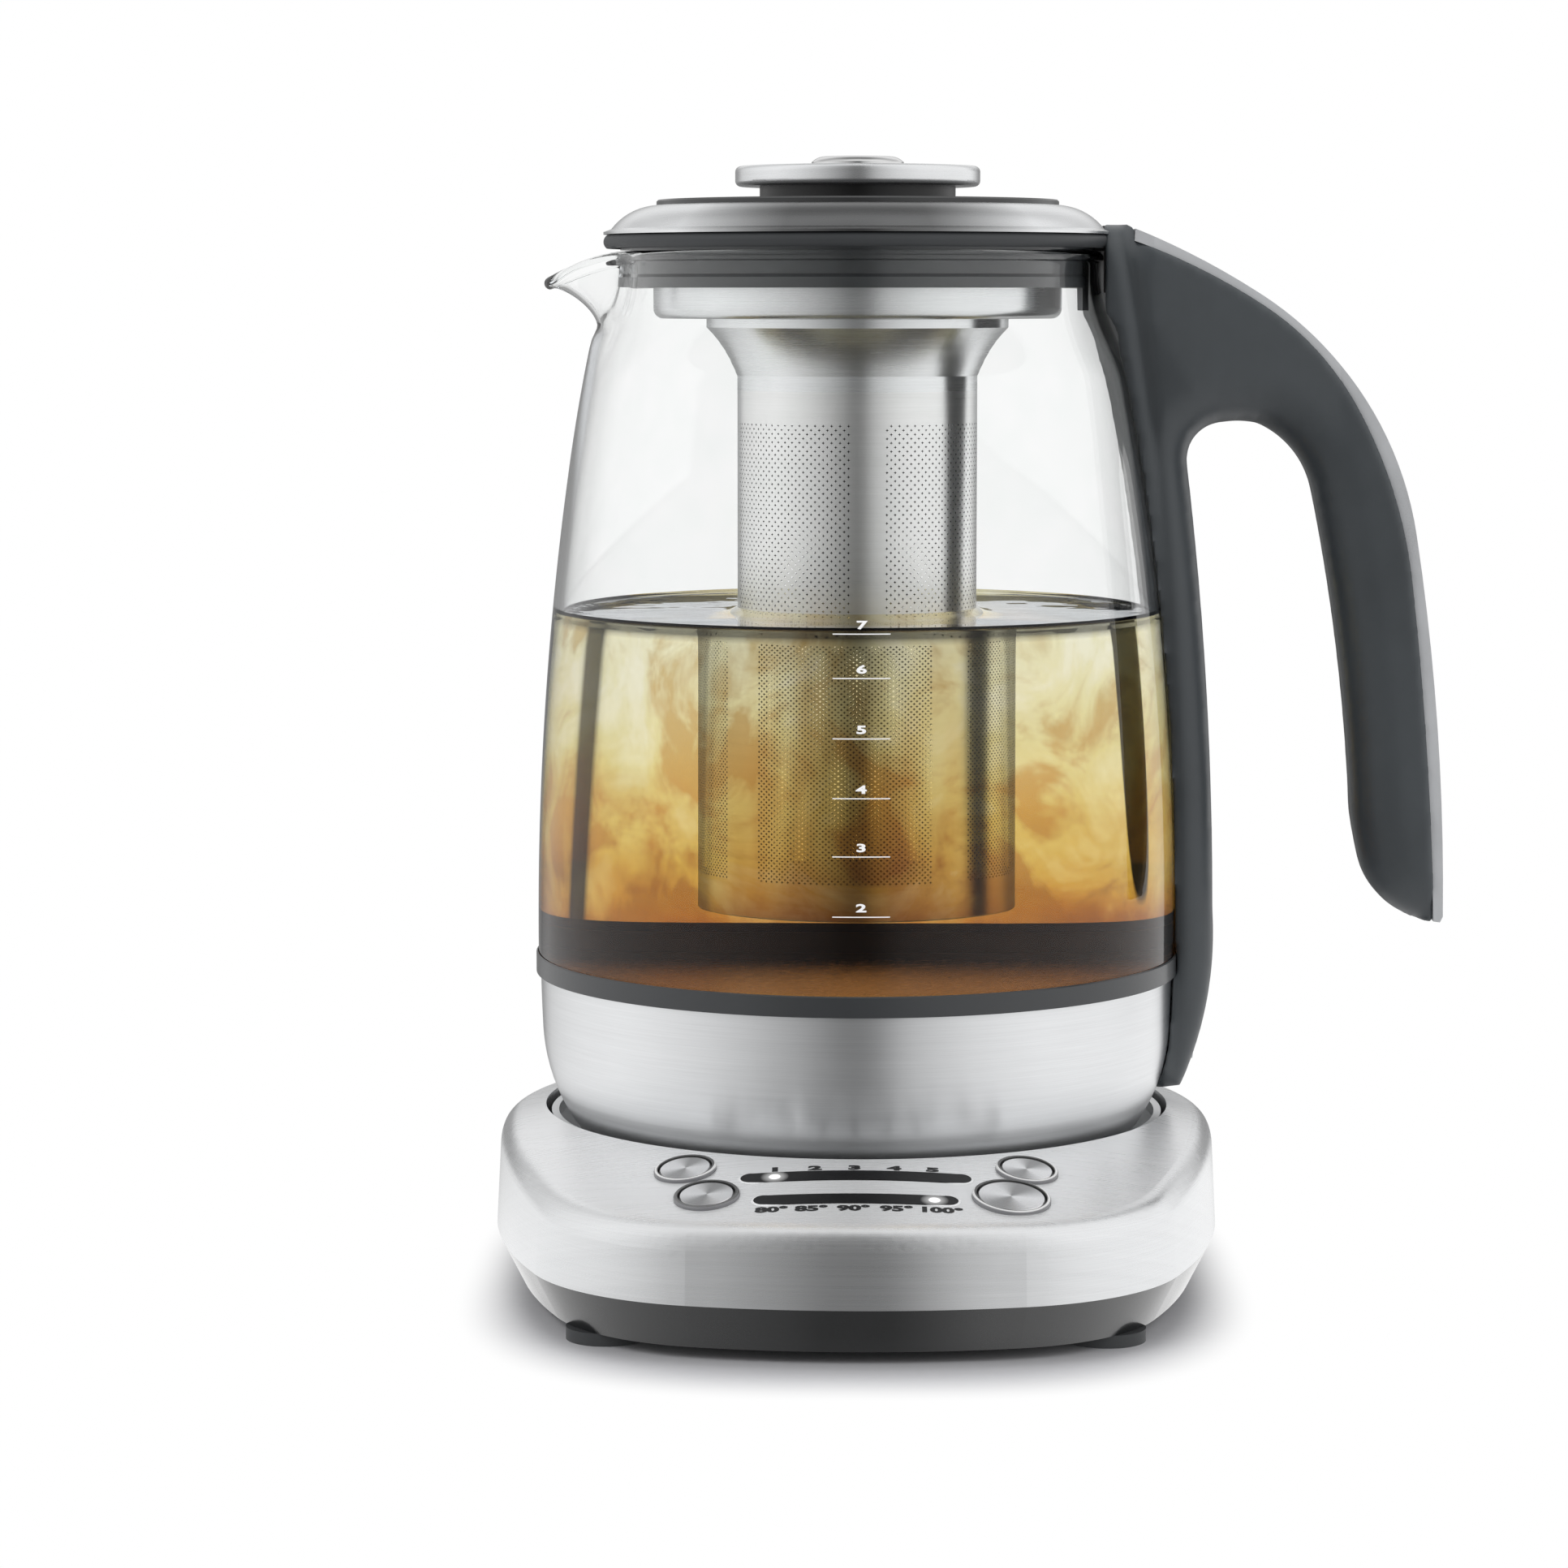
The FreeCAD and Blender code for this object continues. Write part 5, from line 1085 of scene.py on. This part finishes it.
    def channel(self, share: float) -> Point:
        """Radius and height along the spout's middle, from its root to its tip.

        Args:
            share: How far along it, from 0 to 1.

        Returns:
            The radius and the height.
        """
        half = (self.wall + self.bead) / 2
        root = self.radius_at(self.spout_root)
        knots = ((root, self.spout_root),
                 *((root + out, self.spout_root + up) for out, up in self.spout_path),
                 (self.spout_tip[0] - half, self.spout_tip[1]))
        weights = ((1 - share) ** 3, 3 * share * (1 - share) ** 2,
                   3 * share ** 2 * (1 - share), share ** 3)
        return (sum(w * k[0] for w, k in zip(weights, knots)),
                sum(w * k[1] for w, k in zip(weights, knots)))

    def skin(self, angle: float, low: Sequence[Point]) -> list[Vector]:
        """Points of the outer face in one direction, from the foot to the rim.

        Args:
            angle: The direction round the axis.
            low: Profile below the spout's root.

        Returns:
            The points, lowest first.
        """
        share = self.spout_share(angle)
        top = self.rim - (self.wall + self.bead) / 2
        line = [(self.outer_radius(angle, height), height) for _, height in low]
        for step in range(self.spout_rows + 1):
            part = step / self.spout_rows
            height = self.spout_root + (top - self.spout_root) * part
            plain = self.outer_radius(angle, height)
            drawn = self.channel(part)
            line.append((plain + (drawn[0] - plain) * share,
                         height + (drawn[1] - height) * share ** 1.6))
        return [Vector((r * math.cos(angle), r * math.sin(angle), z)) for r, z in line]

    def glass(self) -> None:
        """Lay out the outer face with its drawn spout, then give it a wall and a bead."""
        around = self.around
        low = [p for p in self.side() if p[1] < self.spout_root - 0.4 * MM]
        outer = [self.skin(math.tau * j / around, low) for j in range(around)]
        rows = len(outer[0])
        half = (self.wall + self.bead) / 2
        loops = []
        for j in range(around):
            thin = self.wall * (1.0 - self.thinning * self.spout_share(math.tau * j / around))
            inner, rim = [], []
            for i in range(rows):
                up = outer[j][min(i + 1, rows - 1)] - outer[j][max(i - 1, 0)]
                along = outer[(j + 1) % around][i] - outer[j - 1][i]
                normal = along.cross(up).normalized()
                inner.append(outer[j][i] - normal * (thin if i > len(low) else self.wall))
                if i == rows - 1:
                    up = (up - normal * up.dot(normal)).normalized()
                    centre = outer[j][i] + normal * (self.bead - half)
                    rim = [centre + half * (math.cos(a) * normal + math.sin(a) * up)
                           for a in map(math.radians, self.bead_degrees)]
            loops.append(outer[j][:-1] + rim + inner[-2::-1])
        bm = bmesh.new()
        grid = [[bm.verts.new(p) for p in loop] for loop in loops]
        count = len(grid[0])
        for j in range(around):
            this, after = grid[j], grid[(j + 1) % around]
            for i in range(count):
                k = (i + 1) % count
                bm.faces.new((this[i], after[i], after[k], this[k]))
        bmesh.ops.recalc_face_normals(bm, faces=bm.faces)
        side, below, beside = self.spout_area
        near = [v for v in bm.verts if v.co.x < side and v.co.z > self.spout_root - below
                and abs(v.co.y) < self.spout_half_width + beside]
        for _ in range(3):
            bmesh.ops.smooth_vert(bm, verts=near, factor=0.5, use_axis_x=True,
                                  use_axis_y=True, use_axis_z=True)
        carry(settle(bm, "glass_jug_wall", ClearGlass("clear_glass").material(), 50.0),
              "jug", ["glass_body"])

    def tea(self) -> None:
        """Fill the jug with tea that climbs a little at the glass and at the basket."""
        bite = self.tea_bite - self.wall
        wet = [(r + bite, z) for r, z in self.side() if z < self.tea_level]
        last = self.radius_at(self.tea_level) + bite
        rise, reach = self.climb_at_glass
        inner_rise, inner_reach = self.climb_at_basket
        surface = [(last - d * MM, self.tea_level + rise * math.exp(-d * MM / reach))
                   for d in self.climb_places]
        close = surface[-1][0] - 0.5 * MM
        for step in range(self.tea_rings + 1):
            r = last - (last - self.basket_radius + self.inside_basket) * step / self.tea_rings
            climb = rise * math.exp(-(last - r) / reach)
            climb += inner_rise * math.exp(-max(0.0, r - self.basket_radius) / inner_reach)
            if r < close:
                surface.append((r, self.tea_level + climb))
        start = [(0.0, self.floor), (40 * MM, self.floor), (self.foot[0] + bite, self.floor)]
        bm = turned(start + wet + surface + [(0.0, self.tea_level)], self.tea_around,
                    False)
        liquid = BrewingTea("brewing_tea", self.foot[1], self.tea_level, last).material()
        carry(settle(bm, "tea", liquid, 60.0), "jug")

    def scale(self) -> None:
        """Print the cup scale on the front of the glass: plain figures and lines."""
        # The white figures get a painted glow of 0.25.
        ink_and_painted_light = PrintedInkAndPaintedLight("scale_print", (0.90, 0.90, 0.90), 0.25).material()
        bm = bmesh.new()
        for text, level in self.marks:
            figure = lettering(text, self.figure_height, 1.9, 0.09 * MM)
            figure.transform(Matrix.Translation((self.mark_x, level * MM + self.figure_lift, 0.0)))
            bm.from_mesh(figure)
            bpy.data.meshes.remove(figure)
            line = bmesh.ops.create_grid(bm, x_segments=12, y_segments=1, size=1.0)
            for vert in line["verts"]:
                vert.co = Vector((self.mark_x + vert.co.x * self.mark_half,
                                  level * MM + vert.co.y * self.mark_stroke, 0.0))
        bmesh.ops.remove_doubles(bm, verts=bm.verts, dist=1e-6)
        for vert in bm.verts:
            across, height = vert.co.x, vert.co.y
            out = self.radius_at(height) + 0.04 * MM
            vert.co = Vector((out * math.sin(across / out), -out * math.cos(across / out),
                              height))
        bmesh.ops.recalc_face_normals(bm, faces=bm.faces)
        carry(settle(bm, "cup_scale", ink_and_painted_light), "jug")

    def dress_nodes(self) -> None:
        """Give every construction node of the jug its finish."""
        dress(BrushedSteel("brushed_steel_jug", roughness=0.34, anisotropy=0.86), "jug_shell")
        dress(MouldedPlastic("grey_plastic_collar", (0.036, 0.039, 0.042), 0.34, coat=0.3),
              "glass_collar")
        dress(MouldedPlastic("black_plastic_jug", (0.013, 0.013, 0.014), 0.45),
              "jug_underside", "jug_chassis", "jug_socket")
        dress(PolishedMetal("heater_plate_steel", (0.66, 0.66, 0.66), 0.22), "heater_plate")
        dress(PolishedMetal("cast_aluminium", (0.56, 0.57, 0.58), 0.48, 0.2),
              "heating_element")
        dress(PolishedMetal("socket_brass", BRASS, 0.25), "socket_contacts")

    def build(self) -> None:
        """Dress the jug, make its glass, scale and tea."""
        self.dress_nodes()
        self.glass()
        self.scale()
        self.tea()


@dataclass
class Handle:
    """The moulded handle, its bright trim and the clip that holds the rim."""

    cell: float = 0.8 * MM
    half_thickness: float = 20.0 * MM
    crown: Point = (12.0 * MM, 14.0 * MM)
    outer_edge: Point = (1.0 * MM, 0.1 * MM)
    groove_depth: float = 1.3 * MM
    groove_width: float = 1.7 * MM
    groove: tuple[Point, ...] = ((78.6, 40.0), (79.1, 68.0), (78.6, 121.0), (76.2, 160.0),
                                 (72.8, 200.0), (67.9, 233.0), (64.6, 252.7), (63.4, 262.0))
    hug: float = 0.12 * MM
    cling: float = 2.2 * MM
    pocket: float = 9.8 * MM
    shell: float = 70.0 * MM
    under_trim: float = 3.0 * MM
    by_glass: float = 6.5 * MM
    deepest: float = 15.0 * MM
    crisp: float = 4.0 * MM
    foot_gap: float = 6.0 * MM
    side_turn: float = 0.35
    glass_turn: float = -0.4

    def trees(self, bm: bmesh.types.BMesh, jug: Jug) -> dict[str, KDTree]:
        """Search trees of the side walls: under the trim, and free of trim and glass.

        Args:
            bm: The handle's mesh.
            jug: The jug that the handle hugs.

        Returns:
            A tree for each kind of wall, in the plane of the handle.
        """
        near = surface_of("handle_trim")
        walls: dict[str, list[Vector]] = {"trim": [], "free": []}
        for vert in bm.verts:
            below = vert.co.z < jug.foot[1]
            if abs(vert.normal.y) > self.side_turn or (below and abs(vert.co.y) < self.pocket):
                continue
            gap = math.hypot(vert.co.x, vert.co.y) - max(jug.radius_at(vert.co.z),
                                                         self.shell if below else 0.0)
            if near.find_nearest(vert.co)[3] < self.under_trim:
                kind = "trim"
            elif gap < self.by_glass and vert.normal.x < self.glass_turn:
                continue
            else:
                kind = "free"
            walls[kind].append(Vector((vert.co.x, 0.0, vert.co.z)))
        found = {}
        for kind, places in walls.items():
            found[kind] = KDTree(len(places))
            for index, place in enumerate(places):
                found[kind].insert(place, index)
            found[kind].balance()
        return found

    def groove_x(self, height: float) -> float:
        """Where the groove runs at a height.

        Args:
            height: The height.

        Returns:
            Its x.
        """
        for (x0, z0), (x1, z1) in zip(self.groove, self.groove[1:]):
            if height <= z1 * MM:
                return (x0 + (x1 - x0) * (height / MM - z0) / (z1 - z0)) * MM
        return self.groove[-1][0] * MM

    def crowned(self, distance: float, edge: Point) -> float:
        """How far the side falls away at a distance from an edge of the outline.

        Args:
            distance: The distance from the edge.
            edge: How far in the crown reaches, and how deep it is.

        Returns:
            The fall, which is the crown's depth at the edge and 0 past its reach.
        """
        reach, depth = edge
        share = 1.0 - min(distance, reach) / reach
        return depth * (1.0 - math.sqrt(1.0 - share * share))

    def body(self, material: bpy.types.Material, jug: Jug) -> None:
        """Mould the grip round, with a crowned side and a groove beside the glass.

        Args:
            material: Its finish.
            jug: The jug that the handle hugs.
        """
        bm = bmesh.new()
        mesh = rounded_copy("handle_body", self.cell, 8)
        bm.from_mesh(mesh)
        bpy.data.meshes.remove(mesh)
        bm.normal_update()
        trees = self.trees(bm, jug)
        faces = surface_of("handle_body")
        for vert in bm.verts:
            flat = Vector((vert.co.x, 0.0, vert.co.z))
            if trees["trim"].find(flat)[2] < self.crisp:
                vert.co = faces.find_nearest(vert.co)[0]
            fall = max(self.crowned(trees["free"].find(flat)[2], self.crown),
                       self.crowned(trees["trim"].find(flat)[2], self.outer_edge))
            beside = (vert.co.x - self.groove_x(vert.co.z)) / self.groove_width
            fall += self.groove_depth * math.exp(-beside * beside)
            vert.co.y *= 1.0 - min(fall, self.deepest) / self.half_thickness
        for _ in range(4):
            bmesh.ops.smooth_vert(bm, verts=bm.verts, factor=0.5, use_axis_x=False,
                                  use_axis_y=True, use_axis_z=False)
        for vert in bm.verts:
            out = math.hypot(vert.co.x, vert.co.y)
            wall = jug.outer_radius(0.0, vert.co.z) + self.hug
            share = min(1.0, max(0.0, out - wall) / self.cling)
            if jug.foot[1] + self.foot_gap < vert.co.z < jug.neck[1] and share < 1.0:
                gap = max(0.0, out - wall) * share * share * (3.0 - 2.0 * share)
                vert.co.x *= (wall + gap) / out
                vert.co.y *= (wall + gap) / out
        carry(settle(bm, "moulded_handle", material, 75.0), "jug",
              ["handle_body"])

    def build(self) -> None:
        """Mould the handle and dress the rest."""
        grey = MouldedPlastic("grey_plastic_handle", (0.054, 0.062, 0.068), 0.38).material()
        self.body(grey, Jug())
        dress(MouldedPlastic("satin_silver", (0.52, 0.53, 0.54), 0.30, 0.000004, coat=0.5),
              "handle_trim")
        dress(MouldedPlastic("black_plastic_clip", (0.02, 0.021, 0.022), 0.40), "rim_clip")
        dress(PolishedMetal("bracket_steel", (0.55, 0.56, 0.57), 0.3), "handle_bracket",
              "handle_screws")


@dataclass(frozen=True)
class Panels:
    """One row of punched panels with plain upright strips between them."""

    name: str
    low: float
    high: float
    pitch: float
    hole_reach: float
    strip: float
    count: int = 4
    strip_width: float = 16.0

    def is_plain(self, angle: float) -> bool:
        """Whether a direction lies in one of the strips.

        Args:
            angle: The direction, in radians.

        Returns:
            Whether it does.
        """
        pitch = 360.0 / self.count
        away = (math.degrees(angle) - self.strip + pitch / 2) % pitch - pitch / 2
        return abs(away) < self.strip_width / 2


@dataclass
class Basket:
    """The infuser basket: perforated screen, floor, flared dish and neck plug."""

    radius: float = 29.5 * MM
    bottom: float = 91.5 * MM
    seam: float = 218.1 * MM
    wall: float = 0.6 * MM
    upper: Panels = Panels("punched_screen", 162.4 * MM, 211.0 * MM, 2.06 * MM, 0.40 * MM,
                           275.0)
    lower: Panels = Panels("fine_screen", 100.0 * MM, 157.6 * MM, 1.25 * MM, 0.35 * MM,
                           309.5)

    def screen(self, panels: Panels, steel: bpy.types.Material,
               replaced: Sequence[str] = ()) -> None:
        """Punch a flat sheet with staggered four-pointed holes and roll it up.

        Args:
            panels: The row of panels to punch.
            steel: The sheet's finish.
            replaced: Construction nodes that the sheet stands for.
        """
        columns = 2 * round(math.tau * self.radius / panels.pitch)
        rows = 2 * round((panels.high - panels.low) / panels.pitch)
        bm = bmesh.new()
        bmesh.ops.create_grid(bm, x_segments=columns, y_segments=rows, size=0.5)
        step = math.tau * self.radius / columns
        rise = (panels.high - panels.low) / rows
        punched = []
        for vert in bm.verts:
            column = round((vert.co.x + 0.5) * columns)
            row = round((vert.co.y + 0.5) * rows)
            vert.co = Vector((column * step, row * rise, 0.0))
            if 0 < row < rows and 0 < column < columns and (row + column) % 2 == 0 \
                    and not panels.is_plain(column * step / self.radius):
                punched.append(vert)
        made = bmesh.ops.bevel(bm, geom=punched, offset=panels.hole_reach, offset_type="OFFSET",
                               affect="VERTICES", segments=2, profile=0.5, material=-1)
        discs = [f for f in made["faces"] if f.calc_area() < 3.0 * panels.hole_reach ** 2]
        bmesh.ops.delete(bm, geom=discs, context="FACES_ONLY")
        for vert in bm.verts:
            angle = vert.co.x / self.radius
            vert.co = Vector((self.radius * math.cos(angle), self.radius * math.sin(angle),
                              panels.low + vert.co.y))
        bmesh.ops.remove_doubles(bm, verts=bm.verts, dist=2e-6)
        carry(settle(bm, panels.name, steel, 60.0), "basket", replaced)

    def bands(self, steel: bpy.types.Material) -> None:
        """Turn the plain bands of sheet above, below and between the holes.

        Args:
            steel: The sheet's finish.
        """
        inner = self.radius - self.wall
        low = [(inner, self.bottom + 0.4 * MM), (self.radius - 0.3 * MM, self.bottom),
               (self.radius, self.bottom + 0.3 * MM), (self.radius, self.lower.low),
               (inner, self.lower.low)]
        middle = [(inner, self.lower.high), (self.radius, self.lower.high),
                  (self.radius, self.upper.low), (inner, self.upper.low)]
        high = [(inner, self.upper.high), (self.radius, self.upper.high),
                (self.radius, self.seam), (inner, self.seam)]
        for name, profile in (("basket_lower_band", low), ("basket_middle_band", middle),
                              ("basket_upper_band", high)):
            carry(settle(turned(profile, 128, True), name, steel, 40.0), "basket")

    def build(self) -> None:
        """Make the screen and dress the rest of the basket."""
        # The sheet's back faces take painted shade, so the holes look dark.
        steel = BrushedSteel("screen_steel", (0.96, 0.96, 0.95), 0.29, groove=0.000003,
                             painted_inner_shade=(0.05, 0.05, 0.05)).material()
        self.screen(self.upper, steel, ["basket_screen"])
        self.screen(self.lower, steel)
        self.bands(steel)
        dress(PolishedMetal("basket_floor_steel", (0.60, 0.60, 0.60), 0.30), "basket_floor")
        dress(BrushedSteel("dish_steel", (0.92, 0.93, 0.94), 0.25, groove=0.000003),
              "basket_dish")
        dress(MouldedPlastic("plug_silicone", (0.050, 0.056, 0.062), 0.36, 0.000006, coat=1.0),
              "basket_plug")


@dataclass
class Lid:
    """The lid: steel dome, dark cover, knob and seal."""

    # Strength of the painted dark reflection on the dome.
    painted_dome_reflection: float = 0.80

    def build(self) -> None:
        """Dress every node of the lid."""
        dress(BrushedSteel("brushed_steel_dome", painted_fan=self.painted_dome_reflection), "lid_dome")
        dress(BrushedSteel("brushed_steel_knob"), "knob_disc")
        dress(PolishedMetal("knob_cap_polish", (0.74, 0.74, 0.74), 0.10), "knob_cap")
        dress(MouldedPlastic("dark_cover", (0.030, 0.031, 0.032), 0.30, 0.000004, coat=0.3),
              "lid_cover")
        dress(MouldedPlastic("stem_plastic", (0.012, 0.012, 0.013), 0.32), "knob_stem")
        dress(MouldedPlastic("liner_plastic", (0.014, 0.014, 0.015), 0.42), "lid_liner")
        dress(MouldedPlastic("seal_silicone", (0.040, 0.043, 0.046), 0.50, 0.000006),
              "lid_seal")
        dress(PolishedMetal("lid_screw_steel", (0.6, 0.6, 0.6), 0.3), "lid_screw")


# ---------------------------------------------------------------- studio

@dataclass(frozen=True)
class SoftLamp:
    """One soft box: where it stands, its size, how strong it is and where it aims."""

    name: str
    place: tuple[float, float, float]
    width: float
    height: float
    power: float
    aim: tuple[float, float, float] = (0.0, 0.0, 0.13)

    def build(self) -> None:
        """Add the lamp, which reflections and glass don't show."""
        lamp = bpy.data.lights.new(self.name, "AREA")
        lamp.shape = "RECTANGLE"
        lamp.size, lamp.size_y = self.width, self.height
        lamp.energy = self.power
        holder = bpy.data.objects.new(self.name, lamp)
        holder.visible_glossy = holder.visible_transmission = False
        holder.location = self.place
        way = Vector(self.aim) - Vector(self.place)
        holder.rotation_euler = way.to_track_quat("-Z", "Y").to_euler()
        bpy.context.scene.collection.objects.link(holder)


@dataclass
class Studio:
    """Pale floor, soft boxes, cards in the surround, and the camera."""

    lens: float = 102.19
    sensor: float = 36.0
    stand: tuple[float, float, float] = (0.0, -1.100, 0.241)
    tilt: float = 6.248
    turn: float = 0.94
    floor_size: float = 8.0
    room_level: float = 0.62
    cards: tuple[Point, ...] = (
        (-180, 0.40), (-176, 0.32), (-152, 0.32), (-140, 0.72), (-113, 0.92), (-84, 1.0),
        (-60, 0.86), (-39, 0.66), (-19, 0.40), (-8, 0.25), (-4, 0.18), (4, 0.18), (8, 0.27),
        (16, 0.55), (36, 0.83), (60, 0.98), (84, 1.0), (134, 1.0), (146, 0.62), (154, 0.30),
        (176, 0.30), (180, 0.40))
    through: tuple[Point, ...] = (
        (-180, 1.0), (-124, 1.0), (-118, 0.7), (-100, 0.6), (100, 0.6), (130, 0.9),
        (146, 0.9), (147.5, 0.05), (152, 0.05), (153.5, 1.0), (180, 1.0))
    beyond: tuple[Point, ...] = (
        (-180, 1.0), (-125, 0.95), (-118, 0.85), (-100, 0.8), (100, 0.8), (130, 0.95),
        (180, 1.0))
    blind: tuple[float, float, float, float] = (-147.5, 4.6, 1.0, 0.61)
    footprint: tuple[float, float, float] = (0.078, 0.106, -0.012)
    lamps: tuple[SoftLamp, ...] = (
        SoftLamp("key_box", (-1.3, -0.9, 1.3), 1.1, 1.1, 9.0),
        SoftLamp("fill_box", (1.4, -0.7, 0.9), 0.9, 1.2, 6.0),
        SoftLamp("top_box", (0.0, 0.2, 1.8), 1.6, 1.2, 9.0))

    def camera(self) -> None:
        """Set up the camera."""
        data = bpy.data.cameras.new("camera")
        data.lens, data.sensor_width = self.lens, self.sensor
        data.clip_start, data.clip_end = 0.01, 50.0
        holder = bpy.data.objects.new("camera", data)
        holder.location = self.stand
        holder.rotation_euler = (math.radians(90.0 - self.tilt), 0.0, math.radians(self.turn))
        bpy.context.scene.collection.objects.link(holder)
        bpy.context.scene.camera = holder

    def ring_of_cards(self, x: Signal, y: Signal, stops: Sequence[Point]) -> Signal:
        """Brightness of the surround in a direction, from a list of cards.

        Args:
            x: The direction's x.
            y: Its y.
            stops: Angle and brightness, 0 being the camera's side and 90 the right.

        Returns:
            The colour.
        """
        share = x.graph.math("ARCTAN2", x, y * -1.0) / math.tau + 0.5
        return share.ramp([((angle + 180.0) / 360.0, (v,) * 3) for angle, v in stops])

    def tall_blind(self, x: Signal, y: Signal) -> Signal:
        """1 where the floor shows a dark blind with a pointed foot, seen through the tea.

        Args:
            x: The direction's or place's x.
            y: Its y.

        Returns:
            The mask.
        """
        way, width, top, drop = self.blind
        turn = x.graph.math("ARCTAN2", x, y * -1.0) * (180.0 / math.pi)
        near = 1.0 / x.graph.math("SQRT", x * x + y * y)
        parts = abs((turn - way) / width) ** 3.0 + abs((near - top) / drop) ** 3.0
        return parts.spread(0.85, 1.05, 1.0, 0.0)

    def seen(self, graph: Graph, plain: Any, cards: Signal, metal: Signal,
             glass: Signal) -> Signal:
        """What each kind of ray sees.

        Args:
            graph: The graph to add to.
            plain: Colour for the rays that only light.
            cards: Colour for reflected rays.
            metal: Colour for rays that a metal sent out through the glass.
            glass: Colour for other rays that leave the glass.

        Returns:
            The colour.
        """
        bounced = graph.math("GREATER_THAN", graph.ray("Glossy Depth"), 0.5)
        colour = graph.mix(graph.ray("Is Glossy Ray"), plain, cards)
        return graph.mix(graph.ray("Is Transmission Ray"), colour,
                         graph.mix(bounced, glass, metal))

    def surround(self) -> None:
        """White room with soft cards that only reflections and glass see."""
        world = bpy.data.worlds.new("studio")
        bpy.context.scene.world = world
        graph = Graph(world)
        way = graph.add("TexCoord", output="Generated")
        x, y, z = graph.axes(way)
        back = (y / graph.from_axis(way)).spread(0.80, 0.96)
        cards = self.ring_of_cards(x, y, self.cards)
        for share, shade in ((back * z.spread(0.12, 0.30), (0.92,) * 3),
                             (back * z.spread(0.60, 0.86, 0.0, 0.90), (0.15,) * 3),
                             (z.spread(0.93, 0.995), WHITE)):
            cards = graph.mix(share, cards, shade)
        metal = graph.mix(back * z.spread(0.0, 0.04), cards, (0.95, 0.97, 1.0))
        colour = self.seen(graph, (self.room_level,) * 3, cards, metal,
                           self.ring_of_cards(x, y, self.beyond))
        graph.out("Surface", graph.add("Background", {"Color": graph.mix(
            graph.ray("Is Camera Ray"), colour, WHITE)}))

    def floor(self) -> None:
        """Lay the pale floor: paper near the object, white beyond, cards in reflections."""
        material = bpy.data.materials.new("pale_floor")
        graph = Graph(material)
        x, y, _ = graph.axes(graph.at())
        half_width, half_depth, middle = self.footprint
        near = (abs(x / half_width) ** 3.0 + abs((y - middle) / half_depth) ** 3.0) ** (1.0 / 3.0)
        fade = graph.add("MapRange", (near, 1.0, 1.25, 0.0, 1.0),
                         interpolation_type="SMOOTHSTEP")
        shown = fade * graph.math("MAXIMUM", graph.ray("Is Camera Ray"),
                                  graph.ray("Is Transmission Ray"))
        mirrored = near.spread(0.80, 0.98) * graph.ray("Is Glossy Ray")
        paper = graph.noise(graph.at(), 320.0).ramp([(0.3, (0.60, 0.60, 0.62)),
                                                     (0.7, (0.62, 0.62, 0.64))])
        cards = self.ring_of_cards(x, y, self.cards)
        glass = graph.mix(self.tall_blind(x, y), self.ring_of_cards(x, y, self.through),
                          (0.02, 0.02, 0.018))
        graph.out("Surface", graph.add("MixShader", (
            graph.math("MAXIMUM", shown, mirrored),
            graph.add("BsdfDiffuse", {"Color": paper}),
            graph.add("Emission", {"Color": self.seen(graph, WHITE, cards, cards, glass)}))))
        bm = bmesh.new()
        bmesh.ops.create_grid(bm, x_segments=1, y_segments=1, size=self.floor_size / 2)
        settle(bm, "studio_floor", material)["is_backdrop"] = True

    def build(self) -> None:
        """Make the room round the object."""
        self.camera()
        self.surround()
        self.floor()
        for lamp in self.lamps:
            lamp.build()
        bpy.context.scene.view_settings.view_transform = "Standard"


def measured() -> list[list[float]]:
    """The shown object's box, as its lowest and highest corner."""
    bpy.context.view_layer.update()
    return [list(corner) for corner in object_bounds()]


def main() -> None:
    """Build the studio and the tea maker on its frame."""
    logging.basicConfig(level=logging.INFO, format="%(message)s")
    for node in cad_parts.values():
        node.data.update()
    construction = measured()
    for part in (Studio(), ControlBase(), Jug(), Handle(), Basket(), Lid()):
        part.build()
        LOG.info("%s is done", type(part).__name__)
    {"cad_box": construction, "visual_box": measured()}


if __name__ == "__main__":
    main()
